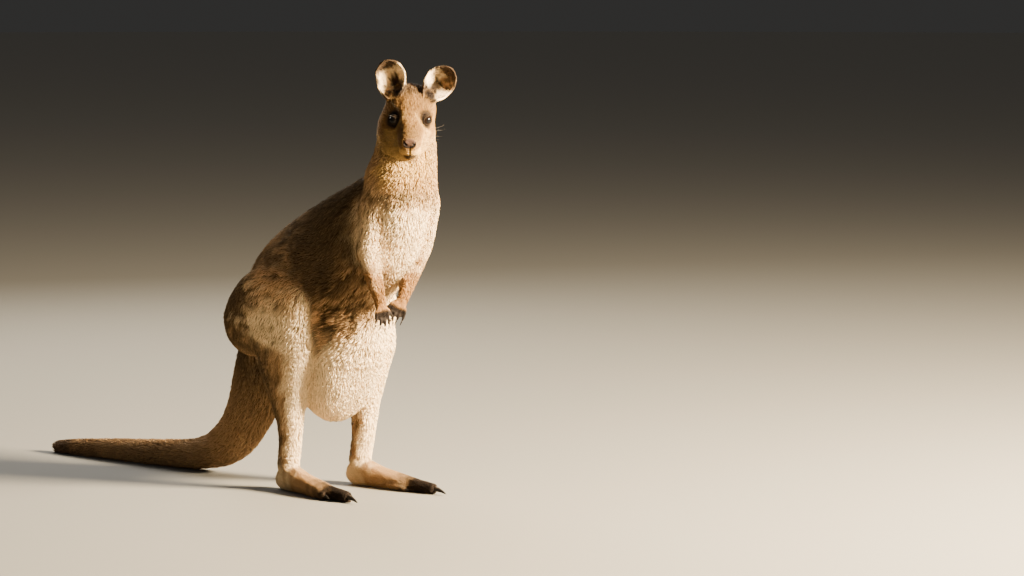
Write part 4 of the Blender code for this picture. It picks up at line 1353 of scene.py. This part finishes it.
def coat_piece(name, coating, kinds, sizes, rng, look):
    """Makes one piece of coat, with its tufts' own small places on the map called OFBake.
    Returns its number of triangles."""
    grown = [coating.grow(kind, sizes, rng) for kind in kinds]
    start = np.cumsum([0] + [len(g["points"]) for g in grown])
    faces = np.concatenate([g["faces"] + s for g, s in zip(grown, start)])
    points, tuft, colours, roots, owners = (
        np.concatenate([g[key] for g in grown]) for key in ("points", "tuft", "colours", "roots", "owners"))
    if len(faces) >= MOST_TRIANGLES:
        raise RuntimeError(f"{name} has {len(faces)} triangles, over {MOST_TRIANGLES}")
    mesh = mesh_from(name, points, faces)
    add_attribute(mesh, "coat_colour", np.column_stack([colours, np.ones(len(colours))]))
    add_attribute(mesh, "tuft", tuft)
    base_ridge = (tuft[:, 0] == 0) & (tuft[:, 2] == 0.5)
    patch = np.stack([tuft[:, 2] - 0.5, tuft[:, 0] - 0.5 + 0.2 * base_ridge], 1) * sizes.patch
    places = np.clip(unwrapped(roots, owners) + patch, 0.0005, 0.9995)
    layer = mesh.uv_layers.new(name="OFBake")
    layer.data.foreach_set("uv", places[faces.ravel()].astype(np.float32).ravel())
    finish_piece(new_object(name, mesh, look), "coat")
    return len(faces)


# ---------------------------------------------------------------- eyes, claws and whiskers
def eyeball(side):
    """One eyeball with its clear front standing a little proud, round the way it faces."""
    centre, radius = eye_centre(side)
    gaze = eye_gaze(side)
    across = unit(np.cross(Head.up, gaze))
    high = np.cross(gaze, across)
    around, rows = 64, 40
    turns = 2 * math.pi * np.arange(around) / around
    turn, back = np.meshgrid(turns, math.pi * np.arange(1, rows) / rows)
    turn = np.concatenate([[0.0], turn.ravel(), [0.0]])
    back = np.concatenate([[0.0], back.ravel(), [math.pi]])
    out = radius * (0.985 + 0.045 * np.exp(-(back / 0.62) ** 4))
    sideways = across * np.cos(turn)[:, None] + high * np.sin(turn)[:, None]
    points = centre + out[:, None] * (gaze * np.cos(back)[:, None] + sideways * np.sin(back)[:, None])
    faces = []
    for k in range(around):
        after = (k + 1) % around
        faces.append((0, 1 + k, 1 + after))
        last = 1 + (rows - 2) * around
        faces.append((last + after, last + k, last + around))
        for row in range(rows - 2):
            a, b = 1 + row * around + k, 1 + row * around + after
            faces += [(a, a + around, b + around), (a, b + around, b)]
    mesh = mesh_from("eyeball", points, np.array(faces))
    add_attribute(mesh, "from_gaze", back / math.pi)
    add_attribute(mesh, "round_gaze", 0.5 + 0.5 * np.cos(turn))
    return mesh


def smooth_claw(node, look):
    """A rounded copy of a packed claw, with each point's share of the way from root to tip."""
    bm = merged_copy(node)
    mesh = bpy.data.meshes.new(node + "_horn")
    bm.to_mesh(mesh)
    bm.free()
    mesh.shade_smooth()
    obj = new_object(node + "_horn", mesh, look)
    rounded = obj.modifiers.new("Rounded", "SUBSURF")
    rounded.levels = rounded.render_levels = 2
    as_plain_mesh(obj)
    points = read(obj.data.vertices, "co", 3)
    limb = node.replace("finger_claw", "hand").replace("toe_claw", "foot").rsplit("_", 1)[0]
    away = points - points.mean(0)
    axis = np.linalg.svd(away, full_matrices=False)[2][0]
    axis *= np.sign(axis @ (points.mean(0) - spot(limb)))
    along = away @ axis
    add_attribute(obj.data, "along", (along - along.min()) / np.ptp(along))
    return obj


def hair_nodes():
    """A node tree that puts one tapered bent hair on each point, along its aim and as long as its size."""
    tree = bpy.data.node_groups.new("hairs", "GeometryNodeTree")
    tree.interface.new_socket("Geometry", in_out="INPUT", socket_type="NodeSocketGeometry")
    for name, kind in (("Bend", "Float"), ("Thickness", "Float"), ("Seed", "Int"), ("Material", "Material")):
        tree.interface.new_socket(name, in_out="INPUT", socket_type="NodeSocket" + kind)
    tree.interface.new_socket("Geometry", in_out="OUTPUT", socket_type="NodeSocketGeometry")
    given = tree.nodes.new("NodeGroupInput").outputs

    def node(kind, settings, values, output=0):
        made = tree.nodes.new(kind)
        for name, value in settings.items():
            setattr(made, name, value)
        for name, value in values.items():
            if isinstance(value, bpy.types.NodeSocket):
                tree.links.new(value, made.inputs[name])
            else:
                made.inputs[name].default_value = value
        return made.outputs[output]

    end = node("ShaderNodeCombineXYZ", {}, {"X": given["Bend"], "Z": 1.0})
    line = node("GeometryNodeCurveQuadraticBezier", {},
                {"Resolution": 9, "Start": (0, 0, 0), "Middle": (0, 0, 0.5), "End": end})
    along = node("GeometryNodeSplineParameter", {}, {}, "Factor")
    line = node("GeometryNodeStoreNamedAttribute", {"data_type": "FLOAT", "domain": "POINT"},
                {"Geometry": line, "Name": "along", "Value": along})
    left = node("ShaderNodeMath", {"operation": "SUBTRACT"}, {0: 1.06, 1: along})
    radius = node("ShaderNodeMath", {"operation": "MULTIPLY"}, {0: left, 1: given["Thickness"]})
    ring = node("GeometryNodeCurvePrimitiveCircle", {}, {"Resolution": 5, "Radius": 1.0})
    hair = node("GeometryNodeCurveToMesh", {},
                {"Curve": line, "Profile Curve": ring, "Scale": radius, "Fill Caps": True})
    aim = node("GeometryNodeInputNamedAttribute", {"data_type": "FLOAT_VECTOR"}, {"Name": "aim"})
    size = node("GeometryNodeInputNamedAttribute", {"data_type": "FLOAT"}, {"Name": "size"})
    random = node("FunctionNodeRandomValue", {"data_type": "FLOAT_VECTOR"},
                  {"Min": (-1, -1, -1), "Max": (1, 1, 1), "Seed": given["Seed"]})
    turn = node("FunctionNodeAxesToRotation", {"primary_axis": "Z", "secondary_axis": "X"},
                {"Primary Axis": aim, "Secondary Axis": random})
    hairs = node("GeometryNodeInstanceOnPoints", {},
                 {"Points": given["Geometry"], "Instance": hair, "Rotation": turn, "Scale": size})
    made = node("GeometryNodeRealizeInstances", {}, {"Geometry": hairs})
    made = node("GeometryNodeSetMaterial", {}, {"Geometry": made, "Material": given["Material"]})
    tree.links.new(made, tree.nodes.new("NodeGroupOutput").inputs[0])
    return tree


def hairs_on(name, roots, aims, sizes, bend, thickness, look):
    """Makes one piece of single hairs with the tree above, and turns it into a plain mesh."""
    mesh = bpy.data.meshes.new(name)
    mesh.from_pydata([tuple(p) for p in roots], [], [])
    add_attribute(mesh, "aim", unit(aims))
    add_attribute(mesh, "size", np.asarray(sizes, float))
    obj = new_object(name, mesh, look)
    maker = obj.modifiers.new("Hairs", "NODES")
    maker.node_group = hair_nodes()
    given = {"Bend": bend, "Thickness": thickness, "Seed": 3, "Material": look}
    for socket in maker.node_group.interface.items_tree:
        if socket.name in given:
            maker[socket.identifier] = given[socket.name]
    as_plain_mesh(obj)
    finish_piece(obj, "claw")


def whisker_roots(coating, rng):
    """Roots, directions and lengths of the whiskers on the lips, chin, cheeks and brows."""
    roots, aims, sizes = [], [], []
    # Each root's distance from the middle, along the muzzle and above it, and its whisker's length.
    lips = [(0.034, along, above, 0.042)
            for above in (-0.014, -0.022, -0.030) for along in np.linspace(0.066, 0.106, 6)]
    chin = [(0.012, along, -0.055, 0.018) for along in (0.092, 0.100, 0.108)]
    cheeks = [(0.045, 0.010, -0.034, 0.038), (0.045, 0.004, -0.040, 0.034)]
    brows = [(0.030, along, 0.040, 0.030) for along in (0.026, 0.033, 0.040)]
    for side in (-1, 1):
        for left, along, above, size in lips + chin + cheeks + brows:
            out = Head.left * side * 0.9 - Head.muzzle * 0.45 - Head.up * (0.25 if above < 0 else -0.8)
            roots.append(Head.place(left * side, along, above))
            aims.append(unit(out) + rng.normal(0, 0.12, 3))
            sizes.append(size * rng.uniform(0.75, 1.15))
    roots = coating.onto_skin(np.array(roots), np.full(len(roots), -0.0005))
    return roots, np.array(aims), sizes


def lash_roots(sizes, rng):
    """Roots, directions and lengths of the lashes along both upper lids."""
    roots, aims, lengths = [], [], []
    for side in (-1, 1):
        points, _ = lid(side, sizes)
        rim = points.reshape(-1, ROUND_LID, 3)[LASH_ROW]
        centre, _ = eye_centre(side)
        for k in range(3, ROUND_LID // 2 - 2):
            roots.append(rim[k])
            out = unit(rim[k] - centre) + eye_gaze(side) * 0.9 + Head.up * 0.25
            aims.append(out + rng.normal(0, 0.06, 3))
            lengths.append(rng.uniform(0.0065, 0.0100))
    return np.array(roots), np.array(aims), lengths


# ---------------------------------------------------------------- stage
class SoftLight(NamedTuple):
    """A square light: its direction from the animal, as shares of the camera's right, of the way ahead and
    of up, its distance and its edge in metres, and its tint."""
    right: float
    ahead: float
    up: float
    distance: float
    edge: float
    tint: tuple


LIGHTS = {
    "key": SoftLight(0.93, -0.35, 0.32, 5.0, 1.2, (1.0, 0.83, 0.57)),
    "fill": SoftLight(-0.75, -0.55, 0.45, 4.5, 3.2, (0.94, 0.97, 1.0)),
    "back": SoftLight(-0.25, 0.80, 0.62, 4.5, 3.0, (1.0, 0.96, 0.88)),
}
SKY_TINT = (1.0, 0.98, 0.94, 1.0)
SKY_RISE = {"From Min": 0.0, "From Max": 0.40, "To Min": 0.034, "To Max": 0.150}  # strength, by height


def lay_floor():
    """A round floor at height 0, wide enough to reach the horizon."""
    turn = 2 * math.pi * np.arange(FLOOR_SIDES) / FLOOR_SIDES
    rim = np.stack([np.cos(turn) * FLOOR_RADIUS, np.sin(turn) * FLOOR_RADIUS, np.zeros(FLOOR_SIDES)], 1)
    mesh = bpy.data.meshes.new("floor")
    mesh.from_pydata([tuple(p) for p in rim], [], [tuple(range(FLOOR_SIDES))])
    new_object("floor", mesh, floor_look())


def set_camera(scene, ahead, sizes):
    """The scene's camera, looking ahead at its aim from its distance."""
    camera = bpy.data.objects.new("camera", bpy.data.cameras.new("camera"))
    camera.data.lens, camera.data.sensor_width = sizes.camera_lens, 36.0
    camera.data.clip_end = 200.0
    camera.location = Vector(CAMERA_AIM) - ahead * sizes.camera_distance
    camera.rotation_euler = ahead.to_track_quat("-Z", "Y").to_euler()
    scene.collection.objects.link(camera)
    scene.camera = camera


def set_light(scene, name, ahead, power):
    """Sets one of the lights, aimed at the animal's middle."""
    light = LIGHTS[name]
    up = Vector(WORLD_UP)
    right = ahead.cross(up).normalized()
    away = right * light.right + ahead * light.ahead + up * light.up
    middle = Vector(spot("abdomen"))
    obj = bpy.data.objects.new(name, bpy.data.lights.new(name, "AREA"))
    obj.data.energy, obj.data.size, obj.data.color = power, light.edge, light.tint
    obj.location = middle + away.normalized() * light.distance
    obj.rotation_euler = (middle - obj.location).to_track_quat("-Z", "Y").to_euler()
    scene.collection.objects.link(obj)


def studio_sky():
    """A plain sky, brighter higher up."""
    world = bpy.data.worlds.new("studio")
    world.use_nodes = True
    tree = world.node_tree
    direction = tree.nodes.new("ShaderNodeTexCoord").outputs["Generated"]
    parts = tree.nodes.new("ShaderNodeSeparateXYZ")
    tree.links.new(direction, parts.inputs[0])
    rise = tree.nodes.new("ShaderNodeMapRange")
    for name, value in SKY_RISE.items():
        rise.inputs[name].default_value = value
    tree.links.new(parts.outputs["Z"], rise.inputs["Value"])
    background = tree.nodes["Background"]
    background.inputs["Color"].default_value = SKY_TINT
    tree.links.new(rise.outputs[0], background.inputs["Strength"])
    return world


# ---------------------------------------------------------------- operators
class KANGAROO_OT_skin(bpy.types.Operator):
    """Join the flesh in one skin with a carved face and eyelids, and mark its colours"""
    bl_idname = "kangaroo.skin"
    bl_label = "Skin"

    def execute(self, context):
        sizes, colours = context.scene.kangaroo_skin, context.scene.kangaroo_colours
        flesh = Flesh()
        obj = joined_flesh(sizes.voxel)
        spared = soften_and_sink(obj, flesh)
        thin_out(obj, sizes.triangles, spared)
        refine_muzzle(obj)
        surface = Surface(obj.data)
        carve_face(surface)
        move_points(obj.data, surface.points)
        first_lid = add_lids(obj, sizes)
        surface = Surface(obj.data)
        owners = flesh.nearest_nodes(surface.points)
        owners[first_lid:] = FLESH.index("head")
        kinds = np.array([KINDS.index(kind_of(n)) for n in FLESH])[owners]
        shares = marking_shares(surface, owners)
        marks = colours_of(surface, shares, Paint(colours))
        add_attribute(obj.data, "coat_colour", np.column_stack([marks, np.ones(len(marks))]))
        add_attribute(obj.data, "bare", bare_skin(surface, first_lid))
        add_attribute(obj.data, "owner", owners.astype(float))
        add_attribute(obj.data, "depth", coat_depths(surface, kinds))
        obj.data.shade_smooth()
        finish_piece(obj, "coat", *FLESH)
        print("skin", len(surface.triangles), "triangles")
        return {"FINISHED"}


class KANGAROO_OT_coat(bpy.types.Operator):
    """Grow the tufts of the coat over the skin, in one piece for each region"""
    bl_idname = "kangaroo.coat"
    bl_label = "Coat"

    def execute(self, context):
        sizes = context.scene.kangaroo_coat
        coating = Coating(bpy.data.objects["skin"])
        rng = np.random.default_rng(sizes.seed)
        look = coat_look()
        for name, kinds in COAT_PIECES.items():
            print(name, coat_piece(name, coating, kinds, sizes, rng, look), "triangles")
        return {"FINISHED"}


class KANGAROO_OT_eyes(bpy.types.Operator):
    """Make both eyeballs"""
    bl_idname = "kangaroo.eyes"
    bl_label = "Eyes"

    def execute(self, context):
        look = eye_look(context.scene.kangaroo_colours.iris)
        for node in EYES:
            obj = new_object(node + "ball", eyeball(side_sign(node)), look)
            finish_piece(obj, "eye", node)
        return {"FINISHED"}


class KANGAROO_OT_claws(bpy.types.Operator):
    """Round off the claws of the fingers and toes"""
    bl_idname = "kangaroo.claws"
    bl_label = "Claws"

    def execute(self, context):
        look = claw_look()
        for node in CLAWS:
            finish_piece(smooth_claw(node, look), "claw", node)
        return {"FINISHED"}


class KANGAROO_OT_whiskers(bpy.types.Operator):
    """Set the whiskers and the upper lashes"""
    bl_idname = "kangaroo.whiskers"
    bl_label = "Whiskers and lashes"

    def execute(self, context):
        rng = np.random.default_rng(context.scene.kangaroo_coat.seed + 1)
        coating = Coating(bpy.data.objects["skin"])
        look = hair_look("whisker", (0.020, 0.015, 0.012), (0.16, 0.12, 0.08))
        hairs_on("whiskers", *whisker_roots(coating, rng), 0.22, 0.0045, look)
        lash = hair_look("lash", (0.012, 0.009, 0.008), (0.030, 0.022, 0.016))
        hairs_on("lashes", *lash_roots(context.scene.kangaroo_skin, rng), 0.25, 0.016, lash)
        return {"FINISHED"}


class KANGAROO_OT_stage(bpy.types.Operator):
    """Set the pale floor, the soft lights and the camera"""
    bl_idname = "kangaroo.stage"
    bl_label = "Stage"

    def execute(self, context):
        scene, sizes = context.scene, context.scene.kangaroo_stage
        ahead = Vector(CAMERA_AHEAD).normalized()
        lay_floor()
        set_camera(scene, ahead, sizes)
        for name in LIGHTS:
            set_light(scene, name, ahead, getattr(sizes, name + "_power"))
        scene.world = studio_sky()
        return {"FINISHED"}


class KANGAROO_PT_looks(bpy.types.Panel):
    """The sizes and colours of the kangaroo, and the steps that make it"""
    bl_idname = "KANGAROO_PT_looks"
    bl_label = "Kangaroo"
    bl_space_type = "VIEW_3D"
    bl_region_type = "UI"
    bl_category = "Kangaroo"

    def draw(self, context):
        for name, group in GROUPS.items():
            box = self.layout.box()
            settings = getattr(context.scene, name)
            for key in group.__annotations__:
                box.prop(settings, key)
        for step in STEPS:
            self.layout.operator(step.bl_idname)


GROUPS = {
    "kangaroo_skin": KangarooSkinSizes,
    "kangaroo_coat": KangarooCoatSizes,
    "kangaroo_colours": KangarooColours,
    "kangaroo_stage": KangarooStageSizes,
}
STEPS = (KANGAROO_OT_stage, KANGAROO_OT_skin, KANGAROO_OT_eyes, KANGAROO_OT_claws, KANGAROO_OT_coat,
         KANGAROO_OT_whiskers)


def register():
    for cls in (*GROUPS.values(), *STEPS, KANGAROO_PT_looks):
        bpy.utils.register_class(cls)
    for name, group in GROUPS.items():
        setattr(bpy.types.Scene, name, PointerProperty(type=group))


def unregister():
    for name in GROUPS:
        delattr(bpy.types.Scene, name)
    for cls in (KANGAROO_PT_looks, *reversed(STEPS), *reversed(GROUPS.values())):
        bpy.utils.unregister_class(cls)


def main():
    register()
    for step in STEPS:
        getattr(bpy.ops.kangaroo, step.bl_idname.split(".")[1])()


if __name__ == "__main__":
    main()
